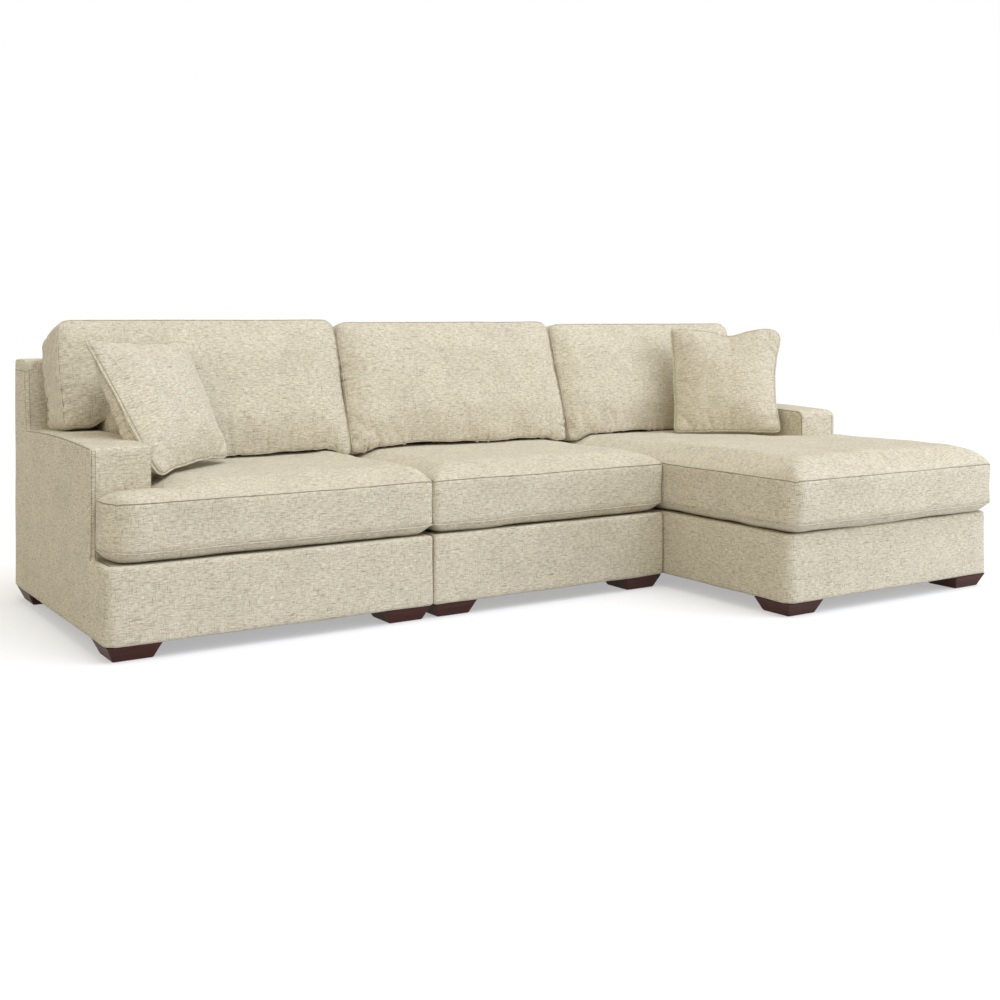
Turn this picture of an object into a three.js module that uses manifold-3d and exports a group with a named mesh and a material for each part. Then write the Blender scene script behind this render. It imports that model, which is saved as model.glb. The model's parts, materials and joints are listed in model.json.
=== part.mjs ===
// Three-piece sectional sofa with a chaise at the right end.
// Millimetres. X runs along the sofa from its left end, Y from the front of the
// two short sections to the back, Z up from the floor.

import * as THREE from 'three';
import { mergeVertices } from 'three/addons/utils/BufferGeometryUtils.js';
import Module from 'manifold-3d';

const wasm = await Module();
wasm.setup();

// Plan of the three sections
const leftWidth = 1058;
const middleWidth = 958;
const chaiseWidth = 1004;
const sectionDepth = 1070;
const chaiseReach = 618;
const seamGap = 1.2;

// Clearances
const touch = 0.3;
const overrun = 40;

// Feet
const footHeight = 45;
const footTopWidth = 160;
const footBottomWidth = 118;
const footInset = 7;
const footEdge = 3;

// Base of each section
const baseTop = 272;
const endCorner = 32;
const seamCorner = 8;
const baseTopEdge = 14;
const skin = 10;
const innerCorner = 2;
const skinTurn = 26;
const railThickness = 25;
const railBack = 1.5;
const crossRailSetback = 60;
const dustSheet = 1.5;
const dustInset = 14;
const deckThickness = 8;
const strapWidth = 52;
const strapThickness = 3;
const strapSpacing = 190;

// Arms
const armWidth = 183;
const armTop = 595;
const leftArmSetback = 154;
const rightArmSetback = 124;
const armTopEdge = 16;
const armCorner = 8;
const armFrameThickness = 15;
const armWindowShare = 0.52;

// Backs
const backTop = 830;
const backTopDepth = 132;
const backBottomDepth = 200;
const backTopEdge = 12;
const backCorner = 8;
const backBoardThickness = 22;
const backBoardCorner = 30;
const backWindowHeight = 250;
const backWindowBar = 150;
const backBoardRear = 30;
const backWindows = 2;

// Connectors between the sections
const platePlay = 1.5;
const steelThickness = 3;
const connectorWidth = 70;
const connectorReach = 62;
const tongueWidth = 44;
const tongueTipWidth = 30;
const tongueDepth = 30;
const tongueInset = 34;
const connectorPlaceShare = 0.55;
const plateDrop = 20;

// Seat cushions
const seatLowSeam = 304;
const seatHighSeam = 446;
const seatCrown = 50;
const seatCrownWidth = 240;
const seatCorner = 10;
const chaiseCorner = 30;
const earCorner = 92;
const earInset = 15;
const earGap = 4;
const seatDrawIn = 3;
const seatRoll = 90;
const chaiseOverhang = 29;
const seatBackGap = 6;
const cushionGap = 2;

// Back cushions
const backCushionHeight = 482;
const backCushionBoxing = 182;
const backCushionFrontCrown = 38;
const backCushionRearCrown = 62;
const backCushionCrownWidth = 190;
const backCushionCorner = 44;
const backCushionSwell = 4;
const backCushionLeanDegrees = 18;
const leftBackEarInset = 48;
const rightBackEarInset = 32;
const backEarLift = 4;
const backEarCorner = 18;

// Throw pillows
const pillowSize = 464;
const pillowWelt = 9;
const pillowPuff = 80;
const pillowCrownWidth = 237;
const pillowCorner = 40;
const pillowPullShare = 0.08;
const pillowEase = 8;
const leftPillowArmShare = 0.334;
const leftPillowRear = 356;
const leftPillowLeanDegrees = 31;
const leftPillowTurnDegrees = 33.5;
const rightPillowArmShare = 0.364;
const rightPillowRear = 453;
const rightPillowLeanDegrees = 21;
const rightPillowTurnDegrees = -36;

// Mesh fineness
const arcSteps = 4;
const fewArcSteps = 2;
const gridSpacing = 130;
const edgeStepShares = [0.16, 0.5];
const stepShares = [0.35];
const edgeBand = 92;
const widestBandShare = 0.33;
const boxingSteps = 3;

// Steepness of curves, as exponents
const seatSteepness = 6;
const backSteepness = 3.2;
const pillowSteepness = 3;
const footSteepness = 3;

// Settling of what rests on something
const halvings = 15;
const settlingPasses = 3;

// Derived places
const middleStart = leftWidth;
const chaiseStart = leftWidth + middleWidth;
const sofaWidth = leftWidth + middleWidth + chaiseWidth;
const dustLow = footHeight + touch;
const railLow = dustLow + dustSheet + touch;
const railTop = baseTop - skin - touch;
const seatRest = baseTop + touch;
const wallLow = baseTop + touch;

const sections = {
  left: {
    start: 0,
    end: middleStart - seamGap,
    front: 0,
    corners: [seamCorner, seamCorner, endCorner, seamCorner],
  },
  middle: {
    start: middleStart + seamGap,
    end: chaiseStart - seamGap,
    front: 0,
    corners: [seamCorner, seamCorner, seamCorner, seamCorner],
  },
  chaise: {
    start: chaiseStart + seamGap,
    end: sofaWidth,
    front: -chaiseReach,
    corners: [seamCorner, seamCorner, endCorner, endCorner],
  },
};

const finishes = {
  fabric: { color: 0xcfc6ac, roughness: 0.92, metalness: 0 },
  deckCloth: { color: 0xb9b096, roughness: 0.95, metalness: 0 },
  dustCloth: { color: 0x1c1b1a, roughness: 0.95, metalness: 0 },
  webbing: { color: 0x8a7b5e, roughness: 0.9, metalness: 0 },
  footWood: { color: 0x3e1c16, roughness: 0.38, metalness: 0 },
  frameWood: { color: 0xc39b66, roughness: 0.75, metalness: 0 },
  steel: { color: 0x8f9296, roughness: 0.4, metalness: 0.9 },
};

const sofa = new THREE.Group();

function addPiece(name, geometry, finish) {
  geometry.computeVertexNormals();
  const piece = new THREE.Mesh(geometry, new THREE.MeshStandardMaterial(finish));
  piece.name = name;
  sofa.add(piece);
  return piece;
}

// Rings and lofts

// A rounded rectangle in plan, counter-clockwise from above. It takes one radius,
// or four from the back right corner on.
function planRing(box, corner, z, steps = arcSteps) {
  const radii = [corner].flat();
  const points = [];
  const edges = [[box.x1, box.y1], [box.x0, box.y1], [box.x0, box.y0], [box.x1, box.y0]];
  edges.forEach(([x, y], quarter) => {
    const radius = radii[quarter % radii.length];
    const cx = x === box.x1 ? x - radius : x + radius;
    const cy = y === box.y1 ? y - radius : y + radius;
    for (let step = 0; step <= steps; step += 1) {
      const angle = (quarter + step / steps) * Math.PI / 2;
      points.push([cx + radius * Math.cos(angle), cy + radius * Math.sin(angle), z]);
    }
  });
  return points;
}

function shrunk(box, by) {
  return { x0: box.x0 + by, x1: box.x1 - by, y0: box.y0 + by, y1: box.y1 - by };
}

function planOf(place) {
  return { x0: place.start, x1: place.end, y0: place.front, y1: sectionDepth };
}

// Joins rings of equal length. A loop closes on itself, anything else gets end caps.
function loft(rings, loop = false) {
  const count = rings[0].length;
  const positions = rings.flat(2);
  const faces = [];
  const bands = loop ? rings.length : rings.length - 1;
  for (let band = 0; band < bands; band += 1) {
    const low = band * count;
    const high = ((band + 1) % rings.length) * count;
    for (let side = 0; side < count; side += 1) {
      const next = (side + 1) % count;
      faces.push(low + side, low + next, high + next);
      faces.push(low + side, high + next, high + side);
    }
  }
  if (!loop) {
    capRing(rings[0], 0, positions, faces, true);
    capRing(rings[rings.length - 1], (rings.length - 1) * count, positions, faces, false);
  }
  return indexedGeometry(positions, faces);
}

function capRing(ring, first, positions, faces, facesDown) {
  const mean = (axis) => ring.reduce((sum, point) => sum + point[axis], 0) / ring.length;
  const middle = positions.length / 3;
  positions.push(mean(0), mean(1), mean(2));
  ring.forEach((point, side) => {
    const here = first + side;
    const next = first + (side + 1) % ring.length;
    if (facesDown) faces.push(middle, next, here);
    else faces.push(middle, here, next);
  });
}

function indexedGeometry(positions, faces) {
  const geometry = new THREE.BufferGeometry();
  geometry.setAttribute('position', new THREE.Float32BufferAttribute(positions, 3));
  geometry.setIndex(faces);
  return geometry;
}

// Solids for cutting

function solidFrom(geometry, matrix = new THREE.Matrix4()) {
  const bare = geometry.clone().applyMatrix4(matrix);
  bare.deleteAttribute('normal');
  bare.deleteAttribute('uv');
  const merged = mergeVertices(bare);
  return new wasm.Manifold(new wasm.Mesh({
    numProp: 3,
    vertProperties: new Float32Array(merged.attributes.position.array),
    triVerts: new Uint32Array(merged.index.array),
  }));
}

function geometryFrom(solid) {
  const mesh = solid.getMesh();
  return indexedGeometry(Array.from(mesh.vertProperties), Array.from(mesh.triVerts));
}

function blockGeometry(x0, x1, y0, y1, z0, z1) {
  const block = new THREE.BoxGeometry(x1 - x0, y1 - y0, z1 - z0);
  block.translate((x0 + x1) / 2, (y0 + y1) / 2, (z0 + z1) / 2);
  return block;
}

function cutBlocks(geometry, blocks) {
  const cut = blocks.reduce((rest, block) => rest.subtract(solidFrom(block)), solidFrom(geometry));
  return geometryFrom(cut);
}

// Feet: square blocks that taper towards the floor

function makeFoot(name, x, y) {
  const ring = (width, z) => {
    const half = width / 2;
    return planRing({ x0: x - half, x1: x + half, y0: y - half, y1: y + half }, footEdge, z, fewArcSteps);
  };
  const taper = (footTopWidth - footBottomWidth) / footHeight;
  const rings = [
    ring(footBottomWidth - footEdge, 0),
    ring(footBottomWidth + taper * footEdge, footEdge),
    ring(footTopWidth, footHeight),
  ];
  addPiece(name, loft(rings), finishes.footWood);
}

function makeFeet(section, place) {
  const inset = footInset + footTopWidth / 2;
  const across = { left: place.start + inset, right: place.end - inset };
  const along = { front: place.front + inset, back: sectionDepth - inset };
  for (const [end, y] of Object.entries(along)) {
    for (const [side, x] of Object.entries(across)) {
      makeFoot(`${section}_${end}_${side}_foot`, x, y);
    }
  }
}

// Base frame: four rails on edge, the long section with a cross rail

function makeRails(section, place) {
  const inset = skin + railBack;
  const x0 = place.start + inset;
  const x1 = place.end - inset;
  const y0 = place.front + inset;
  const y1 = sectionDepth - inset;
  const sideFront = y0 + railThickness + touch;
  const sideBack = y1 - railThickness - touch;
  const addRail = (name, xLow, xHigh, yLow, yHigh) => {
    const rail = blockGeometry(xLow, xHigh, yLow, yHigh, railLow, railTop);
    addPiece(`${section}_${name}_rail`, rail, finishes.frameWood);
  };
  addRail('front', x0, x1, y0, y0 + railThickness);
  addRail('back', x0, x1, y1 - railThickness, y1);
  addRail('left', x0, x0 + railThickness, sideFront, sideBack);
  addRail('right', x1 - railThickness, x1, sideFront, sideBack);
}

function makeCrossRail(place) {
  const inset = skin + railBack + railThickness + touch;
  const y0 = crossRailSetback;
  const top = railTop - strapThickness - touch;
  const rail = blockGeometry(
    place.start + inset, place.end - inset, y0, y0 + railThickness, railLow, top);
  addPiece('chaise_cross_rail', rail, finishes.frameWood);
}

// Base cover: padded fabric round the rails, turned in over their tops

function makeBaseCover(section, place) {
  const box = planOf(place);
  const ring = (inset, z) => {
    const corners = place.corners.map((corner) => Math.max(corner - inset, innerCorner));
    return planRing(shrunk(box, inset), corners, z);
  };
  const innerRing = (inset, z) => planRing(shrunk(box, inset), innerCorner, z);
  const rings = [ring(0, dustLow)];
  for (let step = 0; step <= arcSteps; step += 1) {
    const angle = step / arcSteps * Math.PI / 2;
    rings.push(ring(baseTopEdge * (1 - Math.cos(angle)), baseTop - baseTopEdge * (1 - Math.sin(angle))));
  }
  rings.push(innerRing(skinTurn, baseTop), innerRing(skinTurn, baseTop - skin));
  rings.push(innerRing(skin, baseTop - skin), innerRing(skin, dustLow));
  addPiece(`${section}_base_cover`, loft(rings, true), finishes.fabric);
}

// Deck, webbing and dust sheet

function makeDeck(section, place) {
  const inset = skinTurn + touch;
  const box = shrunk(planOf(place), inset);
  const low = railTop + touch;
  const ring = (z) => planRing(box, innerCorner, z, fewArcSteps);
  const deck = loft([ring(low), ring(low + deckThickness)]);
  addPiece(`${section}_seat_deck`, deck, finishes.deckCloth);
}

// A lattice of straps, sewn where they cross, stretched between the rails.
function makeWebbing(section, place) {
  const box = shrunk(planOf(place), skin + railBack + railThickness + touch);
  const width = box.x1 - box.x0;
  const length = box.y1 - box.y0;
  const columns = Math.max(1, Math.round(width / strapSpacing));
  const rows = Math.max(1, Math.round(length / strapSpacing));
  const stepX = (width - strapWidth) / columns;
  const stepY = (length - strapWidth) / rows;
  const low = railTop - strapThickness;
  const gaps = [];
  for (let column = 0; column < columns; column += 1) {
    for (let row = 0; row < rows; row += 1) {
      const x = box.x0 + column * stepX;
      const y = box.y0 + row * stepY;
      const gap = blockGeometry(
        x + strapWidth, x + stepX, y + strapWidth, y + stepY, low - overrun, railTop + overrun);
      gaps.push(gap);
    }
  }
  const lattice = blockGeometry(box.x0, box.x1, box.y0, box.y1, low, railTop);
  addPiece(`${section}_seat_webbing`, cutBlocks(lattice, gaps), finishes.webbing);
}

function makeDustCover(section, place) {
  const sheet = blockGeometry(
    place.start + dustInset, place.end - dustInset, place.front + dustInset, sectionDepth - dustInset,
    dustLow, dustLow + dustSheet);
  addPiece(`${section}_dust_cover`, sheet, finishes.dustCloth);
}

// Arms and backs are hollow padded covers, open where they stand on the base

// How far the front of a back leans in at a height.
function backFrontAt(z) {
  const rise = (z - baseTop) / (backTop - baseTop);
  return sectionDepth - backBottomDepth + (backBottomDepth - backTopDepth) * rise;
}

// An upturned cup of padded fabric whose plan may change with its height.
function makeHood(name, boxAt, top, edge, corner) {
  const ring = (inset, z) => planRing(shrunk(boxAt(z), inset), Math.max(corner - inset, innerCorner), z);
  const rings = [ring(skin, top - skin), ring(skin, wallLow), ring(0, wallLow)];
  for (let step = 0; step <= arcSteps; step += 1) {
    const angle = step / arcSteps * Math.PI / 2;
    rings.push(ring(edge * (1 - Math.cos(angle)), top - edge * (1 - Math.sin(angle))));
  }
  return addPiece(name, loft(rings), finishes.fabric);
}

function makeBackCover(section, place) {
  const boxAt = (z) => ({ x0: place.start, x1: place.end, y0: backFrontAt(z), y1: sectionDepth });
  return makeHood(`${section}_back_cover`, boxAt, backTop, backTopEdge, backCorner);
}

function makeArmCover(name, x0, setback) {
  const boxAt = (z) => ({ x0, x1: x0 + armWidth, y0: setback, y1: backFrontAt(z) - touch });
  return makeHood(name, boxAt, armTop, armTopEdge, armCorner);
}

// Back board: a panel with windows, standing on the base behind the padding

function makeBackBoard(section, place) {
  const inset = skin + touch;
  const x0 = place.start + inset;
  const x1 = place.end - inset;
  const height = backTop - skin - touch - wallLow;
  const upright = (left, right, low, high) => {
    const panel = roundedShape(left, right, low, high, backBoardCorner);
    const board = new THREE.ExtrudeGeometry(
      panel, { depth: backBoardThickness, bevelEnabled: false, curveSegments: fewArcSteps });
    board.rotateX(Math.PI / 2);
    board.translate(0, sectionDepth - backBoardRear, wallLow);
    return board;
  };
  const windowWidth = (x1 - x0 - backWindowBar * (backWindows + 1)) / backWindows;
  const low = (height - backWindowHeight) / 2;
  const windows = [];
  for (let window = 0; window < backWindows; window += 1) {
    const left = x0 + backWindowBar + window * (windowWidth + backWindowBar);
    windows.push(upright(left, left + windowWidth, low, low + backWindowHeight));
  }
  addPiece(`${section}_back_board`, cutBlocks(upright(x0, x1, 0, height), windows), finishes.frameWood);
}

function roundedShape(x0, x1, y0, y1, corner) {
  const shape = new THREE.Shape();
  shape.moveTo(x0 + corner, y0);
  shape.lineTo(x1 - corner, y0);
  shape.absarc(x1 - corner, y0 + corner, corner, -Math.PI / 2, 0);
  shape.lineTo(x1, y1 - corner);
  shape.absarc(x1 - corner, y1 - corner, corner, 0, Math.PI / 2);
  shape.lineTo(x0 + corner, y1);
  shape.absarc(x0 + corner, y1 - corner, corner, Math.PI / 2, Math.PI);
  shape.lineTo(x0, y0 + corner);
  shape.absarc(x0 + corner, y0 + corner, corner, Math.PI, Math.PI * 3 / 2);
  return shape;
}

// Arm frame: two side panels under a top board, with lightening windows

function makeArmFrame(name, x0, setback) {
  const inset = skin + touch;
  const box = {
    x0: x0 + inset, x1: x0 + armWidth - inset, y0: setback + inset, y1: backFrontAt(baseTop) - inset - touch,
  };
  const top = armTop - skin - touch;
  const ring = (z) => planRing(box, innerCorner, z, fewArcSteps);
  const outer = loft([ring(wallLow), ring(top)]);
  const wall = armFrameThickness;
  const hollow = blockGeometry(
    box.x0 + wall, box.x1 - wall, box.y0 + wall, box.y1 - wall, wallLow - overrun, top - wall);
  const length = box.y1 - box.y0;
  const windowLength = (length - wall * 2) * armWindowShare / 2;
  const height = top - wallLow;
  const windowHeight = height * armWindowShare;
  const windowLow = wallLow + (height - windowHeight) / 2;
  const windows = [1, 3].map((quarter) => {
    const middle = box.y0 + length * quarter / 4;
    return blockGeometry(
      box.x0 - overrun, box.x1 + overrun, middle - windowLength / 2, middle + windowLength / 2,
      windowLow, windowLow + windowHeight);
  });
  addPiece(name, cutBlocks(outer, [hollow, ...windows]), finishes.frameWood);
}

// Connectors: a tongue under an outer section drops into a slotted plate that
// reaches out from under the middle one

function makeTongue(name, seam, direction) {
  const y = sectionDepth * connectorPlaceShare;
  const rail = seam + direction * tongueInset;
  const flange = blockGeometry(
    rail - tongueInset / 2, rail + tongueInset / 2, y - connectorWidth / 2, y + connectorWidth / 2,
    footHeight - steelThickness, footHeight);
  const blade = new THREE.Shape([
    new THREE.Vector2(-tongueWidth / 2, 0),
    new THREE.Vector2(-tongueTipWidth / 2, -tongueDepth),
    new THREE.Vector2(tongueTipWidth / 2, -tongueDepth),
    new THREE.Vector2(tongueWidth / 2, 0),
  ]);
  const tongue = new THREE.ExtrudeGeometry(blade, { depth: steelThickness, bevelEnabled: false });
  tongue.rotateX(Math.PI / 2);
  tongue.rotateZ(Math.PI / 2);
  tongue.translate(rail, y, footHeight - steelThickness / 2);
  const solid = solidFrom(flange).add(solidFrom(tongue));
  addPiece(name, geometryFrom(solid), finishes.steel);
}

function makePlate(name, seam, direction) {
  const y = sectionDepth * connectorPlaceShare;
  const y0 = y - connectorWidth / 2;
  const y1 = y + connectorWidth / 2;
  const low = footHeight - plateDrop - steelThickness;
  const inner = seam - direction * connectorReach;
  const step = seam - direction * seamGap;
  const outer = seam + direction * connectorReach;
  const between = (a, b, z0, z1) => blockGeometry(Math.min(a, b), Math.max(a, b), y0, y1, z0, z1);
  const fixing = between(inner, step, footHeight - steelThickness, footHeight);
  const drop = between(step - direction * steelThickness, step, low, footHeight);
  const shelf = between(step - direction * steelThickness, outer, low, low + steelThickness);
  const slotMiddle = seam + direction * tongueInset;
  const slot = blockGeometry(
    slotMiddle - steelThickness / 2 - platePlay, slotMiddle + steelThickness / 2 + platePlay,
    y - tongueWidth / 2, y + tongueWidth / 2, low - overrun, low + steelThickness * 2);
  const solid = solidFrom(fixing).add(solidFrom(drop)).add(solidFrom(shelf)).subtract(solidFrom(slot));
  addPiece(name, geometryFrom(solid), finishes.steel);
}

// Cushions

// Lines across one side of a cushion: fine near its outer edges, wide in its
// middle, with a line at each stop where the plan steps.
function gridLines(stops) {
  const lines = [stops[0]];
  const last = stops.length - 1;
  for (let part = 1; part <= last; part += 1) {
    const from = stops[part - 1];
    const to = stops[part];
    const band = Math.min(edgeBand, (to - from) * widestBandShare);
    const startShares = part === 1 ? edgeStepShares : stepShares;
    const endShares = part === last ? edgeStepShares : stepShares;
    lines.push(...startShares.map((share) => from + band * share), from + band);
    const inner = to - from - band * 2;
    const cells = Math.max(1, Math.round(inner / gridSpacing));
    for (let cell = 1; cell < cells; cell += 1) lines.push(from + band + inner * cell / cells);
    lines.push(to - band, ...endShares.map((share) => to - band * share).reverse(), to);
  }
  return lines;
}

function rectangleHas(rectangle, x, y) {
  return x > rectangle[0] && x < rectangle[1] && y > rectangle[2] && y < rectangle[3];
}

// Bends the square corner of a grid into a round one.
function roundCorner(point, corner) {
  const across = corner.inX * (point[0] - corner.x);
  const along = corner.inY * (point[1] - corner.y);
  if (across >= corner.radius || along >= corner.radius) return point;
  const a = 1 - across / corner.radius;
  const b = 1 - along / corner.radius;
  const roundA = a * Math.sqrt(1 - b * b / 2);
  const roundB = b * Math.sqrt(1 - a * a / 2);
  return [
    corner.x + corner.inX * corner.radius * (1 - roundA),
    corner.y + corner.inY * corner.radius * (1 - roundB),
  ];
}

function distanceToSegment(x, y, [ax, ay, bx, by]) {
  const nearX = Math.min(Math.max(x, Math.min(ax, bx)), Math.max(ax, bx));
  const nearY = Math.min(Math.max(y, Math.min(ay, by)), Math.max(ay, by));
  return Math.hypot(x - nearX, y - nearY);
}

// A crown that rises steeply at the seam and levels out at its width.
function crownRise(distance, width, steepness) {
  const left = 1 - Math.min(1, distance / width);
  return 1 - left ** steepness;
}

// A cushion over a plan of joined rectangles: two crowned panels, with a
// boxing strip between their seams. Only its plan corners are rounded.
function cushionGeometry(plan) {
  const { rectangles, corners, low, high, swell } = plan;
  const reshape = plan.reshape ?? ((point) => point);
  const settle = plan.settle ?? ((x, y, z) => [x, y, z]);
  const stopsOf = (low, high) => {
    const stops = new Set(rectangles.flatMap((rectangle) => [rectangle[low], rectangle[high]]));
    return [...stops].sort((a, b) => a - b);
  };
  const xs = gridLines(stopsOf(0, 1));
  const ys = gridLines(stopsOf(2, 3));
  const filled = (i, j) => {
    if (i < 0 || j < 0 || i >= xs.length - 1 || j >= ys.length - 1) return false;
    const x = (xs[i] + xs[i + 1]) / 2;
    const y = (ys[j] + ys[j + 1]) / 2;
    return rectangles.some((rectangle) => rectangleHas(rectangle, x, y));
  };
  const cells = [];
  const edges = [];
  for (let i = 0; i < xs.length - 1; i += 1) {
    for (let j = 0; j < ys.length - 1; j += 1) {
      if (!filled(i, j)) continue;
      cells.push([i, j]);
      if (!filled(i, j - 1)) edges.push([[i, j], [i + 1, j]]);
      if (!filled(i + 1, j)) edges.push([[i + 1, j], [i + 1, j + 1]]);
      if (!filled(i, j + 1)) edges.push([[i + 1, j + 1], [i, j + 1]]);
      if (!filled(i - 1, j)) edges.push([[i, j + 1], [i, j]]);
    }
  }
  const segments = edges.map(([a, b]) => [xs[a[0]], ys[a[1]], xs[b[0]], ys[b[1]]]);
  const positions = [];
  const seen = new Map();
  const placed = (i, j) => reshape(corners.reduce(roundCorner, [xs[i], ys[j]]));
  const outward = new Map();
  for (const [a, b] of edges) {
    const [ax, ay] = placed(...a);
    const [bx, by] = placed(...b);
    const size = Math.hypot(bx - ax, by - ay);
    for (const end of [a, b]) {
      const sum = outward.get(end.join()) ?? [0, 0];
      outward.set(end.join(), [sum[0] + (by - ay) / size, sum[1] - (bx - ax) / size]);
    }
  }
  const vertex = (i, j, level) => {
    const key = `${i},${j},${level}`;
    if (!seen.has(key)) {
      let [x, y] = placed(i, j);
      const inside = Math.min(...segments.map((segment) => distanceToSegment(xs[i], ys[j], segment)));
      let z = high + plan.topCrown * crownRise(inside, plan.topWidth, plan.steepness);
      if (level === 0) z = low - plan.underCrown * crownRise(inside, plan.underWidth, plan.steepness);
      if (level > 0 && level < boxingSteps) {
        const rise = level / boxingSteps;
        const [nx, ny] = outward.get(`${i},${j}`);
        const size = Math.hypot(nx, ny);
        const bulge = swell * Math.sin(Math.PI * rise);
        x += nx / size * bulge;
        y += ny / size * bulge;
        z = low + (high - low) * rise;
      }
      seen.set(key, positions.length / 3);
      positions.push(...settle(x, y, z));
    }
    return seen.get(key);
  };
  const faces = [];
  const quad = (a, b, c, d) => faces.push(a, b, c, a, c, d);
  for (const [i, j] of cells) {
    const around = [[i, j], [i + 1, j], [i + 1, j + 1], [i, j + 1]];
    quad(...around.map(([p, q]) => vertex(p, q, boxingSteps)));
    quad(...around.reverse().map(([p, q]) => vertex(p, q, 0)));
  }
  for (const [a, b] of edges) {
    for (let level = 0; level < boxingSteps; level += 1) {
      quad(vertex(...a, level), vertex(...b, level), vertex(...b, level + 1), vertex(...a, level + 1));
    }
  }
  return indexedGeometry(positions, faces);
}

const seatForm = {
  low: seatLowSeam,
  high: seatHighSeam,
  topCrown: seatCrown,
  topWidth: seatCrownWidth,
  underCrown: seatLowSeam - seatRest,
  underWidth: seatRoll,
  steepness: seatSteepness,
  swell: -seatDrawIn,
};

function corner(x, y, inX, inY, radius) {
  return { x, y, inX, inY, radius };
}

function makeLeftSeat() {
  const x0 = armWidth + cushionGap;
  const x1 = middleStart - cushionGap;
  const back = backFrontAt(baseTop) - seatBackGap;
  const earBack = leftArmSetback - earGap;
  const plan = {
    ...seatForm,
    rectangles: [[x0, x1, 0, back], [earInset, x0, 0, earBack]],
    corners: [
      corner(earInset, 0, 1, 1, earCorner),
      corner(x1, 0, -1, 1, seatCorner),
      corner(x0, back, 1, -1, seatCorner),
      corner(x1, back, -1, -1, seatCorner),
    ],
  };
  return addPiece('left_seat_cushion', cushionGeometry(plan), finishes.fabric);
}

function makeMiddleSeat() {
  const x0 = middleStart + cushionGap;
  const x1 = chaiseStart - cushionGap;
  const back = backFrontAt(baseTop) - seatBackGap;
  const plan = {
    ...seatForm,
    rectangles: [[x0, x1, 0, back]],
    corners: [
      corner(x0, 0, 1, 1, seatCorner),
      corner(x1, 0, -1, 1, seatCorner),
      corner(x0, back, 1, -1, seatCorner),
      corner(x1, back, -1, -1, seatCorner),
    ],
  };
  return addPiece('middle_seat_cushion', cushionGeometry(plan), finishes.fabric);
}

function makeChaiseSeat() {
  const x0 = chaiseStart + cushionGap;
  const x1 = sofaWidth - armWidth - cushionGap;
  const ear = sofaWidth - earInset;
  const front = -chaiseReach - chaiseOverhang;
  const back = backFrontAt(baseTop) - seatBackGap;
  const earBack = rightArmSetback - earGap;
  const plan = {
    ...seatForm,
    rectangles: [[x0, x1, front, back], [x1, ear, front, earBack]],
    corners: [
      corner(x0, front, 1, 1, chaiseCorner),
      corner(ear, front, -1, 1, seatCorner),
      corner(ear, earBack, -1, -1, seatCorner),
      corner(x0, back, 1, -1, seatCorner),
      corner(x1, back, -1, -1, seatCorner),
    ],
  };
  return addPiece('chaise_seat_cushion', cushionGeometry(plan), finishes.fabric);
}

// Back cushions are drawn lying down, then stood up and leaned back.

const backForm = {
  low: -backCushionBoxing / 2,
  high: backCushionBoxing / 2,
  topCrown: backCushionFrontCrown,
  topWidth: backCushionCrownWidth,
  underCrown: backCushionRearCrown,
  underWidth: backCushionCrownWidth,
  steepness: backSteepness,
  swell: backCushionSwell,
};
const backLean = THREE.MathUtils.degToRad(backCushionLeanDegrees);
const backCushionLow = seatHighSeam + seatCrown + backCushionSwell
  - Math.sin(backLean) * backCushionBoxing / 2;
const backEarRise = armTop + backEarLift + Math.sin(backLean) * backCushionBoxing / 2 - backCushionLow;
const backEarLow = backEarRise / Math.cos(backLean) + backCushionSwell;

// The foot of a leaning cushion lies flat on the seat.
function flattenFoot(x, y, z) {
  const fade = (1 - Math.min(1, Math.max(0, y / backCushionHeight))) ** footSteepness;
  return [x, y + (backCushionBoxing / 2 - z) * Math.tan(backLean) * fade, z];
}

function standBackCushion(name, rectangles, corners) {
  const geometry = cushionGeometry({ ...backForm, rectangles, corners, settle: flattenFoot });
  const cushion = addPiece(name, geometry, finishes.fabric);
  cushion.rotation.set(Math.PI / 2 - backLean, 0, 0);
  cushion.position.set(0, backFrontAt(baseTop) - backCushionBoxing - overrun, backCushionLow + overrun);
  return cushion;
}

const bodyInset = cushionGap + backCushionSwell;

function makeLeftBack() {
  const x0 = armWidth + bodyInset;
  const x1 = middleStart - bodyInset;
  const ear = leftBackEarInset + backCushionSwell;
  const top = backCushionHeight;
  return standBackCushion('left_back_cushion', [[x0, x1, 0, top], [ear, x0, backEarLow, top]], [
    corner(x0, 0, 1, 1, backEarCorner),
    corner(x1, 0, -1, 1, backEarCorner),
    corner(ear, backEarLow, 1, 1, backEarCorner),
    corner(ear, top, 1, -1, backCushionCorner),
    corner(x1, top, -1, -1, backCushionCorner),
  ]);
}

function makeMiddleBack() {
  const x0 = middleStart + bodyInset;
  const x1 = chaiseStart - bodyInset;
  const top = backCushionHeight;
  return standBackCushion('middle_back_cushion', [[x0, x1, 0, top]], [
    corner(x0, 0, 1, 1, backEarCorner),
    corner(x1, 0, -1, 1, backEarCorner),
    corner(x0, top, 1, -1, backCushionCorner),
    corner(x1, top, -1, -1, backCushionCorner),
  ]);
}

function makeChaiseBack() {
  const x0 = chaiseStart + bodyInset;
  const x1 = sofaWidth - armWidth - bodyInset;
  const ear = sofaWidth - rightBackEarInset - backCushionSwell;
  const top = backCushionHeight;
  return standBackCushion('chaise_back_cushion', [[x0, x1, 0, top], [x1, ear, backEarLow, top]], [
    corner(x0, 0, 1, 1, backEarCorner),
    corner(x1, 0, -1, 1, backEarCorner),
    corner(ear, backEarLow, -1, 1, backEarCorner),
    corner(x0, top, 1, -1, backCushionCorner),
    corner(ear, top, -1, -1, backCushionCorner),
  ]);
}

// Throw pillows: two crowned panels on a thin welt, with drawn-in sides

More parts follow.
